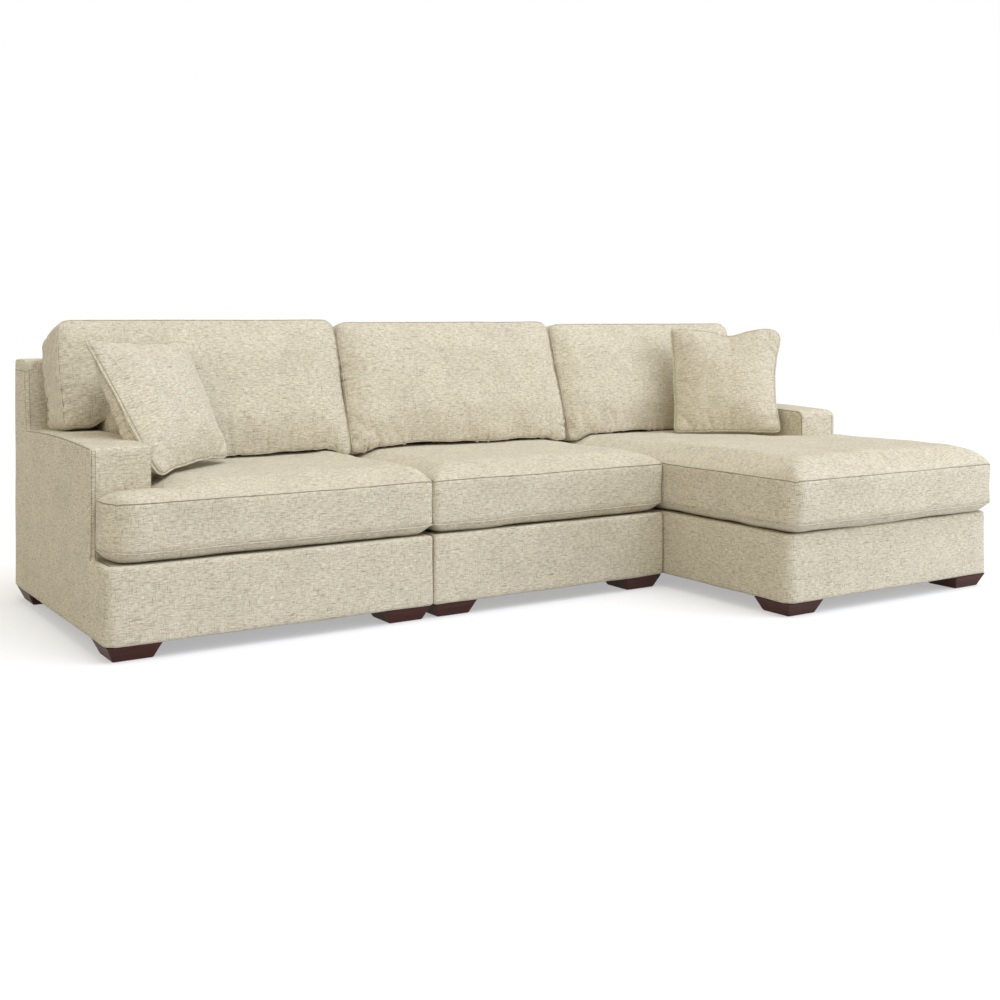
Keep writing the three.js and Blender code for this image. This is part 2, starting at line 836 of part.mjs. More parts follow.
function makePillow(name, place, leanDegrees, turnDegrees) {
  const half = pillowSize / 2;
  const drawnIn = ([x, y]) => {
    const u = x / half;
    const v = y / half;
    return [x * (1 - pillowPullShare * (1 - v * v)), y * (1 - pillowPullShare * (1 - u * u))];
  };
  const geometry = cushionGeometry({
    rectangles: [[-half, half, -half, half]],
    corners: [
      corner(-half, -half, 1, 1, pillowCorner),
      corner(half, -half, -1, 1, pillowCorner),
      corner(-half, half, 1, -1, pillowCorner),
      corner(half, half, -1, -1, pillowCorner),
    ],
    low: -pillowWelt / 2,
    high: pillowWelt / 2,
    topCrown: pillowPuff,
    topWidth: pillowCrownWidth,
    underCrown: pillowPuff,
    underWidth: pillowCrownWidth,
    steepness: pillowSteepness,
    swell: 0,
    reshape: drawnIn,
  });
  const pillow = addPiece(name, geometry, finishes.fabric);
  const lean = THREE.MathUtils.degToRad(leanDegrees);
  pillow.rotation.set(Math.PI / 2 - lean, 0, THREE.MathUtils.degToRad(turnDegrees), 'ZXY');
  pillow.position.set(place.x, place.y, seatHighSeam + seatCrown + half + overrun);
  return pillow;
}

const down = new THREE.Vector3(0, 0, -1);
const rearward = new THREE.Vector3(0, 1, 0);
const rightward = new THREE.Vector3(1, 0, 0);

// Backs a piece off, then moves it along a direction until it all but touches
// what holds it.
function restOn(piece, supports, direction, reach) {
  piece.position.addScaledVector(direction, -overrun);
  piece.updateMatrixWorld();
  const solid = solidFrom(piece.geometry, piece.matrixWorld);
  const holding = supports.map((support) => solidFrom(support.geometry, support.matrixWorld));
  let free = 0;
  let met = reach;
  for (let step = 0; step < halvings; step += 1) {
    const middle = (free + met) / 2;
    const moved = solid.translate(direction.clone().multiplyScalar(middle).toArray());
    if (holding.some((support) => !moved.intersect(support).isEmpty())) met = middle;
    else free = middle;
  }
  piece.position.addScaledVector(direction, free - touch);
  piece.updateMatrixWorld();
}

// Leans a piece against its neighbours, eases it off them and stands it on its seat.
function settle(piece, seat, neighbours, towards, ease = 0) {
  for (let pass = 0; pass < settlingPasses; pass += 1) {
    restOn(piece, neighbours, towards, backBottomDepth);
    restOn(piece, [seat], down, backCushionHeight / 2);
  }
  piece.position.addScaledVector(towards, -ease);
  restOn(piece, [seat, ...neighbours], down, backCushionHeight / 2);
}

// Building the sofa

for (const [section, place] of Object.entries(sections)) {
  makeFeet(section, place);
  makeRails(section, place);
  makeBaseCover(section, place);
  makeDeck(section, place);
  makeWebbing(section, place);
  makeDustCover(section, place);
  makeBackBoard(section, place);
}
makeCrossRail(sections.chaise);

const rightArmStart = sofaWidth - armWidth;
const leftBackCover = makeBackCover('left', sections.left);
const middleBackCover = makeBackCover('middle', sections.middle);
const chaiseBackCover = makeBackCover('chaise', sections.chaise);
const leftArmCover = makeArmCover('left_arm_cover', 0, leftArmSetback);
const rightArmCover = makeArmCover('right_arm_cover', rightArmStart, rightArmSetback);
makeArmFrame('left_arm_frame', 0, leftArmSetback);
makeArmFrame('right_arm_frame', rightArmStart, rightArmSetback);

makeTongue('left_tongue', middleStart, -1);
makePlate('left_plate', middleStart, -1);
makeTongue('chaise_tongue', chaiseStart, 1);
makePlate('chaise_plate', chaiseStart, 1);

const leftSeat = makeLeftSeat();
const middleSeat = makeMiddleSeat();
const chaiseSeat = makeChaiseSeat();
const leftBack = makeLeftBack();
const middleBack = makeMiddleBack();
const chaiseBack = makeChaiseBack();
settle(leftBack, leftSeat, [leftBackCover], rearward);
settle(middleBack, middleSeat, [middleBackCover], rearward);
settle(chaiseBack, chaiseSeat, [chaiseBackCover], rearward);

const leftPillowPlace = {
  x: armWidth + pillowSize * leftPillowArmShare,
  y: sectionDepth - leftPillowRear - pillowSize / 2,
};
const rightPillowPlace = {
  x: rightArmStart - pillowSize * rightPillowArmShare,
  y: sectionDepth - rightPillowRear - pillowSize / 2,
};
const leftPillow = makePillow('left_pillow', leftPillowPlace, leftPillowLeanDegrees, leftPillowTurnDegrees);
const rightPillow = makePillow(
  'right_pillow', rightPillowPlace, rightPillowLeanDegrees, rightPillowTurnDegrees);
settle(leftPillow, leftSeat, [leftBack, leftArmCover], rearward, pillowEase);
settle(rightPillow, chaiseSeat, [chaiseBack, rightArmCover], rightward, pillowEase);

// The origin lies on the floor, under the middle of the plan.
sofa.position.set(-sofaWidth / 2, (chaiseReach + chaiseOverhang - sectionDepth) / 2, 0);

export default sofa;
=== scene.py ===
import json
import math

import bmesh
import bpy
import numpy as np
from mathutils import Matrix, Vector, bvhtree, kdtree


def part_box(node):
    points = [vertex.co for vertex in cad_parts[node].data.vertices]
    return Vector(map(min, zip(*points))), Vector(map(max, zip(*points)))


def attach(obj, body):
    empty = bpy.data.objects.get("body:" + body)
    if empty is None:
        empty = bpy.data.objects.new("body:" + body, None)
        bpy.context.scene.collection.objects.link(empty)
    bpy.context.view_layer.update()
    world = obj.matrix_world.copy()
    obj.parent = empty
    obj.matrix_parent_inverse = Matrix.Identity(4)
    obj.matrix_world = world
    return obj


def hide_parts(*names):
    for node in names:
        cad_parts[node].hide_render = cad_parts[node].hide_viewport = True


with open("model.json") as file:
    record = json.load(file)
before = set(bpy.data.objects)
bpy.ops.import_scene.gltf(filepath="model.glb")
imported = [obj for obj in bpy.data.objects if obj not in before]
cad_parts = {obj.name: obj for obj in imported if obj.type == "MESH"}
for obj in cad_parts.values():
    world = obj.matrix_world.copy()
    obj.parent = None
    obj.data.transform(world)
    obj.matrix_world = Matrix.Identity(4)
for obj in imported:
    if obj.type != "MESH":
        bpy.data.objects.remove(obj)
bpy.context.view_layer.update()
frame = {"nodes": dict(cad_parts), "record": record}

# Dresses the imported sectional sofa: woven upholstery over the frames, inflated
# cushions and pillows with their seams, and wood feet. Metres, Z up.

sections = ("left", "middle", "chaise")
weaveMap = "weave"
mm = 0.001


# Small tools for meshes

def shownMesh(name, verts, faces, material=None, uvs=None):
    mesh = bpy.data.meshes.new(name)
    mesh.from_pydata([tuple(v) for v in verts], [], faces)
    if uvs is not None:
        layer = mesh.uv_layers.new(name=weaveMap)
        layer.data.foreach_set("uv", np.asarray(uvs, np.float32).ravel())
    mesh.update()
    obj = bpy.data.objects.new(name, mesh)
    bpy.context.scene.collection.objects.link(obj)
    if material is not None:
        mesh.materials.append(material)
    mesh.shade_smooth()
    return obj


def pointsOf(obj):
    flat = np.empty(len(obj.data.vertices) * 3)
    obj.data.vertices.foreach_get("co", flat)
    return flat.reshape(-1, 3)


def movePoints(obj, points):
    obj.data.vertices.foreach_set("co", np.asarray(points, np.float64).ravel())
    obj.data.update()


def normalsOf(obj):
    flat = np.empty(len(obj.data.vertices) * 3)
    obj.data.vertices.foreach_get("normal", flat)
    return flat.reshape(-1, 3)


def applyModifiers(obj):
    graph = bpy.context.evaluated_depsgraph_get()
    done = bpy.data.meshes.new_from_object(
        obj.evaluated_get(graph), preserve_all_data_layers=True, depsgraph=graph)
    old = obj.data
    obj.modifiers.clear()
    obj.data = done
    bpy.data.meshes.remove(old)
    obj.data.name = obj.name
    obj.data.shade_smooth()
    return obj


# Smooth noise of about -1 to 1, from a few sine waves that run every way
def wander(points, wavelength, seed, waves=10):
    pick = np.random.default_rng(seed)
    total = np.zeros(len(points))
    for _ in range(waves):
        way = pick.normal(size=3)
        way /= np.linalg.norm(way)
        step = wavelength * pick.uniform(0.7, 1.4)
        total += np.sin(points @ way * (2 * math.pi / step) + pick.uniform(0, 2 * math.pi))
    return total / math.sqrt(waves)


# Lays the weave flat on every face, along the two axes that it faces least
def boxWeaveMap(obj):
    mesh = obj.data
    layer = mesh.uv_layers.get(weaveMap) or mesh.uv_layers.new(name=weaveMap)
    loops = len(mesh.loops)
    vertex = np.empty(loops, np.int32)
    mesh.loops.foreach_get("vertex_index", vertex)
    totals = np.empty(len(mesh.polygons), np.int32)
    mesh.polygons.foreach_get("loop_total", totals)
    normal = np.empty(len(mesh.polygons) * 3)
    mesh.polygons.foreach_get("normal", normal)
    facing = np.repeat(np.abs(normal.reshape(-1, 3)).argmax(1), totals)
    place = pointsOf(obj)[vertex]
    across = np.where(facing == 0, place[:, 1], place[:, 0])
    along = np.where(facing == 2, place[:, 1], place[:, 2])
    layer.data.foreach_set("uv", np.stack([across, along], 1).astype(np.float32).ravel())


def smoothStep(value):
    value = np.clip(value, 0, 1)
    return value * value * (3 - 2 * value)


# Stretches and shifts points so that they fill a box along the given axes
def fitBox(points, low, high, axes="xyz"):
    out = points.copy()
    for axis in ("xyz".index(letter) for letter in axes):
        least, most, wide = points[:, axis].min(), points[:, axis].max(), high[axis] - low[axis]
        out[:, axis] = low[axis] + (points[:, axis] - least) * wide / (most - least)
    return out


def surfaceOf(obj):
    return bvhtree.BVHTree.FromObject(obj, bpy.context.evaluated_depsgraph_get())


# The sewn pieces that lie on another piece and move with its body
def sewTo(pieces, body):
    for piece in pieces:
        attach(piece, body)


# Materials

def emptyTree(owner):
    owner.use_nodes = True
    owner.node_tree.nodes.clear()
    return owner.node_tree


def startMaterial(name):
    material = bpy.data.materials.new(name)
    tree = emptyTree(material)
    output = tree.nodes.new("ShaderNodeOutputMaterial")
    shader = tree.nodes.new("ShaderNodeBsdfPrincipled")
    tree.links.new(shader.outputs[0], output.inputs["Surface"])
    return material, tree, shader


def addNode(tree, kind, inputs=None, **settings):
    node = tree.nodes.new(kind)
    for key, value in settings.items():
        setattr(node, key, value)
    for key, value in (inputs or {}).items():
        if isinstance(value, bpy.types.Node):
            tree.links.new(value.outputs[0], node.inputs[key])
        elif isinstance(value, bpy.types.NodeSocket):
            tree.links.new(value, node.inputs[key])
        else:
            node.inputs[key].default_value = value
    return node


def mathNode(tree, operation, first, second=0.0):
    return addNode(tree, "ShaderNodeMath", {0: first, 1: second}, operation=operation)


def mixColour(tree, share, first, second, blend="MIX"):
    node = tree.nodes.new("ShaderNodeMix")
    node.data_type = "RGBA"
    node.blend_type = blend
    for place, value in ((0, share), (6, first), (7, second)):
        if isinstance(value, bpy.types.NodeSocket):
            tree.links.new(value, node.inputs[place])
        else:
            node.inputs[place].default_value = value
    return node.outputs[2]


# Noise whose grains have the given lengths along the coordinates
def stretchedNoise(tree, coordinates, lengths, place, detail=2.0, roughness=0.5):
    scaled = addNode(tree, "ShaderNodeMapping", {
        0: coordinates, "Location": (place, place * 1.7, place * 0.6),
        "Scale": tuple(1 / length for length in lengths)})
    return addNode(tree, "ShaderNodeTexNoise", {
        "Vector": scaled, "Scale": 1.0, "Detail": detail, "Roughness": roughness}).outputs[0]


def ranged(tree, value, low, high, toLow=0.0, toHigh=1.0):
    return addNode(tree, "ShaderNodeMapRange", {
        0: value, 1: low, 2: high, 3: toLow, 4: toHigh}).outputs[0]


def objectPlace(tree):
    return addNode(tree, "ShaderNodeTexCoord").outputs["Object"]


# Colours the shader from dark to light as a value rises from low to high
def paint(tree, shader, value, low, high, dark, light):
    colour = mixColour(tree, ranged(tree, value, low, high), dark, light)
    tree.links.new(colour, shader.inputs["Base Color"])


def addBump(tree, shader, height, strength, distance):
    bump = addNode(tree, "ShaderNodeBump", {
        "Strength": strength, "Distance": distance, "Height": height})
    tree.links.new(bump.outputs[0], shader.inputs["Normal"])


# Values that are the same all over the surface
def setFinish(shader, **finish):
    sockets = {"roughness": "Roughness", "gloss": "Specular IOR Level", "metal": "Metallic",
               "sheen": "Sheen Weight", "sheenRoughness": "Sheen Roughness",
               "coat": "Coat Weight", "coatRoughness": "Coat Roughness"}
    for key, value in finish.items():
        shader.inputs[sockets[key]].default_value = value


weaveLook = {
    "ground": (0.645, 0.598, 0.478, 1),
    "fleck": (0.215, 0.180, 0.120, 1),
    "shade": (0.400, 0.352, 0.250, 1),
    "pale": (0.850, 0.820, 0.720, 1),
    "slubLength": 17 * mm,
    "slubWidth": 2.7 * mm,
    "longSlub": 48 * mm,
    "grain": 3.2 * mm,
    "mottle": 95 * mm,
    "threadPitch": 2.4 * mm,
    "relief": 0.6 * mm,
    "weftRelief": 0.9,
    "warpRelief": 0.6,
    "threadRelief": 0.16,
    "mottled": (0.96, 1.04),
    # Each layer of colour: its noise, where that starts and is full, its share there, its colour
    "layers": (
        ("grain", 0.40, 0.70, 0.42, "shade"),
        ("weft", 0.47, 0.34, 0.52, "pale"),
        ("warp", 0.44, 0.32, 0.35, "pale"),
        ("weft", 0.56, 0.68, 0.48, "fleck"),
        ("warp", 0.59, 0.70, 0.42, "fleck"),
        ("weftSlub", 0.61, 0.68, 0.48, "fleck"),
        ("warpSlub", 0.63, 0.70, 0.40, "fleck"),
    ),
}


def makeWeave(name, look):
    material, tree, shader = startMaterial(name)
    cloth = addNode(tree, "ShaderNodeUVMap", uv_map=weaveMap)
    long, wide, longest = look["slubLength"], look["slubWidth"], look["longSlub"]
    small, broad = look["grain"], look["mottle"]
    noises = {
        "weft": stretchedNoise(tree, cloth, (long, wide, 1), 3.1),
        "warp": stretchedNoise(tree, cloth, (wide, long, 1), 11.7),
        "weftSlub": stretchedNoise(tree, cloth, (longest, wide * 1.2, 1), 41.3),
        "warpSlub": stretchedNoise(tree, cloth, (wide * 1.2, longest * 0.7, 1), 57.9),
        "grain": stretchedNoise(tree, cloth, (small, small, 1), 23.3, roughness=0.7),
    }
    colour = look["ground"]
    for noise, starts, full, share, tone in look["layers"]:
        share = ranged(tree, noises[noise], starts, full, 0, share)
        colour = mixColour(tree, share, colour, look[tone])
    mottle = stretchedNoise(tree, cloth, (broad, broad, 1), 5.3)
    lightness = ranged(tree, mottle, 0.3, 0.7, *look["mottled"])
    tint = addNode(tree, "ShaderNodeHueSaturation", {"Value": lightness, "Color": colour})
    tree.links.new(tint.outputs[0], shader.inputs["Base Color"])

    parts = addNode(tree, "ShaderNodeSeparateXYZ", {0: cloth})
    turns = 2 * math.pi / look["threadPitch"]
    waves = [mathNode(tree, "SINE", mathNode(tree, "MULTIPLY", parts.outputs[axis], turns))
             for axis in (0, 1)]
    reliefs = ((noises["weft"], look["weftRelief"]), (noises["warp"], look["warpRelief"]),
               (mathNode(tree, "MULTIPLY", *waves), look["threadRelief"]))
    weft, warp, threads = (mathNode(tree, "MULTIPLY", value, share) for value, share in reliefs)
    height = mathNode(tree, "ADD", mathNode(tree, "ADD", weft, warp), threads)
    addBump(tree, shader, height, 0.8, look["relief"])
    setFinish(shader, roughness=0.92, gloss=0.2, sheen=0.06, sheenRoughness=0.5)
    return material


# Topstitching is real thread, and its dark colour also paints the shade in the stitch grooves
stitchAndGrooveShadeLook = {"colour": (0.19, 0.155, 0.10, 1), "twist": 0.9 * mm}
# The seam and pale looks are painted shade: dark lines laid in the creases beside the welts, where
# the seams are shaded; the pale one is the lighter painted shade beside the pillow welts
seamShadeLook = {"colour": (0.30, 0.255, 0.175, 1), "twist": 0.9 * mm}
paleShadeLook = {"colour": (0.43, 0.385, 0.28, 1), "twist": 0.9 * mm}


# A dark line material with a fine grain: real thread for the topstitching, and painted seam shade
# for the lines beside the welts
def makeDarkLine(name, look):
    material, tree, shader = startMaterial(name)
    twist = stretchedNoise(tree, objectPlace(tree), (look["twist"],) * 3, 1.3, detail=1.0)
    dark = tuple(c * 0.7 for c in look["colour"][:3]) + (1,)
    paint(tree, shader, twist, 0.3, 0.7, dark, look["colour"])
    setFinish(shader, roughness=0.7)
    return material


woodLooks = {
    "foot": {"dark": (0.022, 0.006, 0.004, 1), "light": (0.085, 0.022, 0.014, 1),
             "grain": (60 * mm, 3.5 * mm, 3.5 * mm), "relief": 0.15 * mm,
             "roughness": 0.5, "gloss": 0.22, "coat": 0.03},
    "raw": {"dark": (0.42, 0.28, 0.15, 1), "light": (0.66, 0.49, 0.29, 1),
            "grain": (120 * mm, 6 * mm, 6 * mm), "relief": 0.4 * mm,
            "roughness": 0.8, "gloss": 0.4, "coat": 0.0},
}


def makeWood(name, look):
    material, tree, shader = startMaterial(name)
    place = objectPlace(tree)
    grain = stretchedNoise(tree, place, look["grain"], 2.9, detail=5.0, roughness=0.6)
    broad = stretchedNoise(tree, place, tuple(length * 6 for length in look["grain"]), 8.1)
    fine, coarse = mathNode(tree, "MULTIPLY", grain, 0.65), mathNode(tree, "MULTIPLY", broad, 0.35)
    mixed = mathNode(tree, "ADD", fine, coarse)
    paint(tree, shader, mixed.outputs[0], 0.35, 0.65, look["dark"], look["light"])
    rough = ranged(tree, grain, 0.3, 0.7, look["roughness"] * 0.85, look["roughness"] * 1.2)
    tree.links.new(rough, shader.inputs["Roughness"])
    addBump(tree, shader, grain, 0.5, look["relief"])
    setFinish(shader, gloss=look["gloss"], coat=look["coat"], coatRoughness=0.2)
    return material


clothLooks = {
    "deck": {"dark": (0.40, 0.36, 0.28, 1), "light": (0.58, 0.53, 0.42, 1), "thread": 1.6 * mm},
    "dust": {"dark": (0.008, 0.008, 0.008, 1), "light": (0.030, 0.029, 0.028, 1),
             "thread": 1.1 * mm},
    "jute": {"dark": (0.16, 0.115, 0.06, 1), "light": (0.40, 0.31, 0.18, 1), "thread": 3.0 * mm},
}


# A plain cloth for the hidden pieces, which reads the object's own place
def makePlainCloth(name, look):
    material, tree, shader = startMaterial(name)
    place, size = objectPlace(tree), look["thread"]
    across = stretchedNoise(tree, place, (size * 9, size, size), 4.4)
    along = stretchedNoise(tree, place, (size, size * 9, size), 9.9)
    mixed = mathNode(tree, "MULTIPLY", mathNode(tree, "ADD", across, along), 0.5).outputs[0]
    paint(tree, shader, mixed, 0.35, 0.65, look["dark"], look["light"])
    addBump(tree, shader, mixed, 0.6, size * 0.4)
    setFinish(shader, roughness=0.95)
    return material


steelLook = {"dark": (0.36, 0.37, 0.38, 1), "light": (0.62, 0.63, 0.65, 1), "spangle": 9 * mm}


def makeSteel(name, look):
    material, tree, shader = startMaterial(name)
    spangle = addNode(tree, "ShaderNodeTexVoronoi", {
        "Vector": objectPlace(tree), "Scale": 1 / look["spangle"]})
    paint(tree, shader, spangle.outputs[0], 0.1, 0.7, look["dark"], look["light"])
    setFinish(shader, metal=1.0, roughness=0.42)
    return material


weave = makeWeave("oatmealWeave", weaveLook)
# Real topstitch thread, coloured dark so that it also paints the shade of its grooves
thread = makeDarkLine("topstitchAndGrooveShade", stitchAndGrooveShadeLook)
# Painted seam shade: dark lines that stand in for the shade in the seams' creases
seamThread = makeDarkLine("seamThread", seamShadeLook)
paleSeamShade = makeDarkLine("paleSeamThread", paleShadeLook)
print("materials of the cloth made")


# Frame nodes that stay: feet, rails, boards, decks, webbing, dust covers, steel

def finishFrameNodes():
    finishes = {
        "foot_wood": makeWood("darkStainedWood", woodLooks["foot"]),
        "frame_wood": makeWood("rawFrameWood", woodLooks["raw"]),
        "deck_cloth": makePlainCloth("deckCloth", clothLooks["deck"]),
        "webbing": makePlainCloth("juteWebbing", clothLooks["jute"]),
        "dust_cloth": makePlainCloth("blackDustCloth", clothLooks["dust"]),
        "connector_steel": makeSteel("zincPlatedSteel", steelLook),
    }
    for entry in frame["record"]["subparts"]:
        finish = finishes.get(entry["material_slot"])
        if finish is None:
            continue
        node = frame["nodes"][entry["node"]]
        for slot in node.material_slots:
            slot.material = finish
        if not node.material_slots:
            node.data.materials.append(finish)


finishFrameNodes()
print("frame nodes finished")


# Upholstered bases, arms and backs: one padded skin for each section

skin = {
    "voxel": 7.2 * mm,
    "wall": 15 * mm,
    "lip": 24 * mm,
    "lipThickness": 10 * mm,
    "hemEdge": 4 * mm,
    "hemSteps": 3,
    "hemBevel": 2 * mm,
    "baseEdge": 10 * mm,
    "endCorner": 32 * mm,
    "seamCorner": 8 * mm,
    "backEdge": 11 * mm,
    "backCorner": 8 * mm,
    "armCorner": 7 * mm,
    "leastCorner": 2 * mm,
    "armCrown": 10 * mm,
    "sunk": 12 * mm,
    "arcSteps": 6,
    "ripple": 0.8 * mm,
    "rippleLength": 240 * mm,
}
# How far the edges of an arm are rolled, and the share of that at each side
armRolls = {
    "left": {"edge": 10 * mm, "left": 0.4, "right": 1.0, "front": 0.8},
    "chaise": {"edge": 26 * mm, "left": 0.3, "right": 0.8, "front": 1.0},
}


# A ring in plan; the corners run from the back right round to the front right
def planRing(x0, x1, y0, y1, corners, z):
    places = ((x1, -1, y1, -1), (x0, 1, y1, -1), (x0, 1, y0, 1), (x1, -1, y0, 1))
    ring = []
    for quarter, ((x, inX, y, inY), radius) in enumerate(zip(places, corners)):
        for step in range(skin["arcSteps"] + 1):
            angle = (quarter + step / skin["arcSteps"]) * math.pi / 2
            ring.append((x + inX * radius + radius * math.cos(angle),
                         y + inY * radius + radius * math.sin(angle), z))
    return ring


# How far a rolled edge has drawn in, and still has to rise, at each step of its quarter turn
def rolled(radius, steps):
    angles = [step / steps * math.pi / 2 for step in range(steps + 1)]
    return [(radius * (1 - math.cos(angle)), radius * (1 - math.sin(angle))) for angle in angles]


def loftRings(rings, closed=False):
    count = len(rings[0])
    verts = [point for ring in rings for point in ring]
    bands = len(rings) if closed else len(rings) - 1
    faces = []
    for band in range(bands):
        low, high = band * count, (band + 1) % len(rings) * count
        for side in range(count):
            after = (side + 1) % count
            faces.append((low + side, low + after, high + after, high + side))
    if not closed:
        faces.append(tuple(reversed(range(count))))
        faces.append(tuple(range(len(verts) - count, len(verts))))
    return verts, faces


# The skin round a base, rolled over its top edge and open at the top and below
def baseSolid(low, high, corners):
    def ring(inset, z):
        smaller = [max(corner - inset, skin["leastCorner"]) for corner in corners]
        return planRing(low.x + inset, high.x - inset, low.y + inset, high.y - inset, smaller, z)
    hem, edge, lip, wall = skin["hemEdge"], skin["baseEdge"], skin["lip"], skin["wall"]
    under, bevel = high.z - skin["lipThickness"], skin["hemBevel"]
    rings = [ring(inset, low.z + rise) for rise, inset in rolled(hem, skin["hemSteps"])]
    rings += [ring(inset, high.z - drop) for inset, drop in rolled(edge, skin["arcSteps"])]
    rings += [ring(inset, z) for inset, z in (
        (lip, high.z), (lip, under), (wall, under), (wall, low.z + bevel), (wall - bevel, low.z))]
    return loftRings(rings, closed=True)


def paddedSolid(boxAt, low, high, edge, corner):
    rings = [planRing(*boxAt(low, 0), [corner] * 4, low)]
    for inset, drop in rolled(edge, skin["arcSteps"]):
        z = high - drop
        rings.append(planRing(*boxAt(z, inset), [max(corner - inset, skin["leastCorner"])] * 4, z))
    return loftRings(rings)


# The place of the front of a back at any height, read from its cover
def backLine(section):
    points = pointsOf(frame["nodes"][f"{section}_back_cover"])
    heights = points[:, 2]
    low, high = heights.min(), heights.max()
    foot = points[heights < low + 1 * mm]
    side = points[(heights > (low + high) / 2) & (heights < high - 0.9 * skin["backEdge"])]
    head = side[side[:, 1] < side[:, 1].mean()]
    footY, headY, headZ = foot[:, 1].min(), head[:, 1].min(), head[:, 2].mean()
    return lambda z: footY + (headY - footY) * (z - low) / (headZ - low)


armOf = {"left": "left_arm_cover", "chaise": "right_arm_cover"}
baseCorners = {
    "left": ("seamCorner", "seamCorner", "endCorner", "seamCorner"),
    "middle": ("seamCorner",) * 4,
    "chaise": ("seamCorner", "seamCorner", "endCorner", "endCorner"),
}


# How far the padding on top of an arm stands up, along its length
def armCrownAt(section, y):
    low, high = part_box(armOf[section])
    meet = backLine(section)(high.z)
    return skin["armCrown"] * np.sin(math.pi * np.clip((y - low.y) / (meet - low.y), 0, 1))


def makeSkin(section):
    baseLow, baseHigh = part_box(f"{section}_base_cover")
    backLow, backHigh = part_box(f"{section}_back_cover")
    front, sunk = backLine(section), skin["sunk"]

    def backBox(z, inset):
        return backLow.x + inset, backHigh.x - inset, front(z) + inset, backHigh.y - inset

    parts = [baseSolid(baseLow, baseHigh, [skin[corner] for corner in baseCorners[section]])]
    parts.append(paddedSolid(
        backBox, backLow.z - sunk, backHigh.z, skin["backEdge"], skin["backCorner"]))
    replaced = [f"{section}_base_cover", f"{section}_back_cover"]
    if section in armOf:
        armLow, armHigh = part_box(armOf[section])
        roll = armRolls[section]

        def armBox(z, inset):
            return (armLow.x + inset * roll["left"], armHigh.x - inset * roll["right"],
                    armLow.y + inset * roll["front"], front(z) + sunk)

        parts.append(paddedSolid(
            armBox, armLow.z - sunk, armHigh.z, roll["edge"], skin["armCorner"]))
        replaced.append(armOf[section])
    verts, faces = [], []
    for partVerts, partFaces in parts:
        first = len(verts)
        verts += partVerts
        faces += [tuple(first + index for index in face) for face in partFaces]
    obj = shownMesh(f"{section}Upholstery", verts, faces, weave)
    remesh = obj.modifiers.new("skin", "REMESH")
    remesh.mode = "VOXEL"
    remesh.voxel_size = skin["voxel"]
    remesh.use_smooth_shade = True
    soften = obj.modifiers.new("soften", "SMOOTH")
    soften.factor = 0.5
    soften.iterations = 2
    applyModifiers(obj)
    points, normals = pointsOf(obj), normalsOf(obj)
    points = points + normals * (skin["ripple"] * wander(points, skin["rippleLength"], 7))[:, None]
    if section in armOf:
        near = (points[:, 0] > armLow.x - 1 * mm) & (points[:, 0] < armHigh.x + 1 * mm)
        near &= points[:, 1] < front(armHigh.z)
        height = smoothStep((points[:, 2] - baseHigh.z) / (armHigh.z - baseHigh.z))
        points[:, 2] += np.where(near, height * armCrownAt(section, points[:, 1]), 0)
    movePoints(obj, points)
    boxWeaveMap(obj)
    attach(obj, f"{section}_section")
    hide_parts(*replaced)
    print(obj.name, len(obj.data.polygons))
    return obj


skins = {section: makeSkin(section) for section in sections}


# Seams, stitches and dark lines of painted seam shade, which Geometry Nodes lay along a line

# A tree with a line of edges and named sizes as inputs, and the sizes' values by their sockets
def startTree(name, sizes):
    tree = bpy.data.node_groups.new(name, "GeometryNodeTree")
    tree.interface.new_socket("Geometry", in_out="INPUT", socket_type="NodeSocketGeometry")
    values = {}
    for label, value in sizes.items():
        socket = tree.interface.new_socket(label, in_out="INPUT", socket_type="NodeSocketFloat")
        values[socket.identifier] = value
    tree.interface.new_socket("Geometry", in_out="OUTPUT", socket_type="NodeSocketGeometry")
    source = tree.nodes.new("NodeGroupInput")
    curve = addNode(tree, "GeometryNodeMeshToCurve", {0: source.outputs["Geometry"]})
    return tree, values, source.outputs, curve


def endTree(tree, geometry, material):
    whole = addNode(tree, "GeometryNodeRealizeInstances", {"Geometry": geometry})
    painted = addNode(tree, "GeometryNodeSetMaterial", {"Geometry": whole, "Material": material})
    tree.links.new(painted.outputs[0], tree.nodes.new("NodeGroupOutput").inputs[0])


# A round tube along a line of edges: a welt, or a dark line of painted seam shade
def seamTree(name, radius, step, segments, material):
    tree, values, sizes, curve = startTree(name, {"Radius": radius, "Step": step})
    smooth = addNode(tree, "GeometryNodeCurveSplineType", {0: curve}, spline_type="CATMULL_ROM")
    even = addNode(tree, "GeometryNodeResampleCurve", {
        "Curve": smooth, "Length": sizes["Step"]}, mode="LENGTH")
    ring = addNode(tree, "GeometryNodeCurvePrimitiveCircle", {
        "Resolution": segments, "Radius": sizes["Radius"]})
    tube = addNode(tree, "GeometryNodeCurveToMesh", {
        "Curve": even, "Profile Curve": ring, "Fill Caps": True})
    endTree(tree, addNode(tree, "GeometryNodeSetShadeSmooth", {"Geometry": tube}), material)
    return tree, values


# A row of short round stitches along a line of edges
def stitchTree(name, length, gap, radius, material):
    tree, values, sizes, curve = startTree(
        name, {"Stitch": length, "Step": length + gap, "Radius": radius})
    even = addNode(tree, "GeometryNodeResampleCurve", {
        "Curve": curve, "Length": sizes["Step"]}, mode="LENGTH")
    tangent = tree.nodes.new("GeometryNodeInputTangent")
    turn = addNode(tree, "FunctionNodeAlignEulerToVector", {"Vector": tangent}, axis="Z")
    stitch = addNode(tree, "GeometryNodeMeshCylinder", {
        "Vertices": 5, "Radius": sizes["Radius"], "Depth": sizes["Stitch"]})
    rows = addNode(tree, "GeometryNodeInstanceOnPoints", {
        "Points": even, "Instance": stitch.outputs["Mesh"], "Rotation": turn})
    endTree(tree, rows, material)
    return tree, values


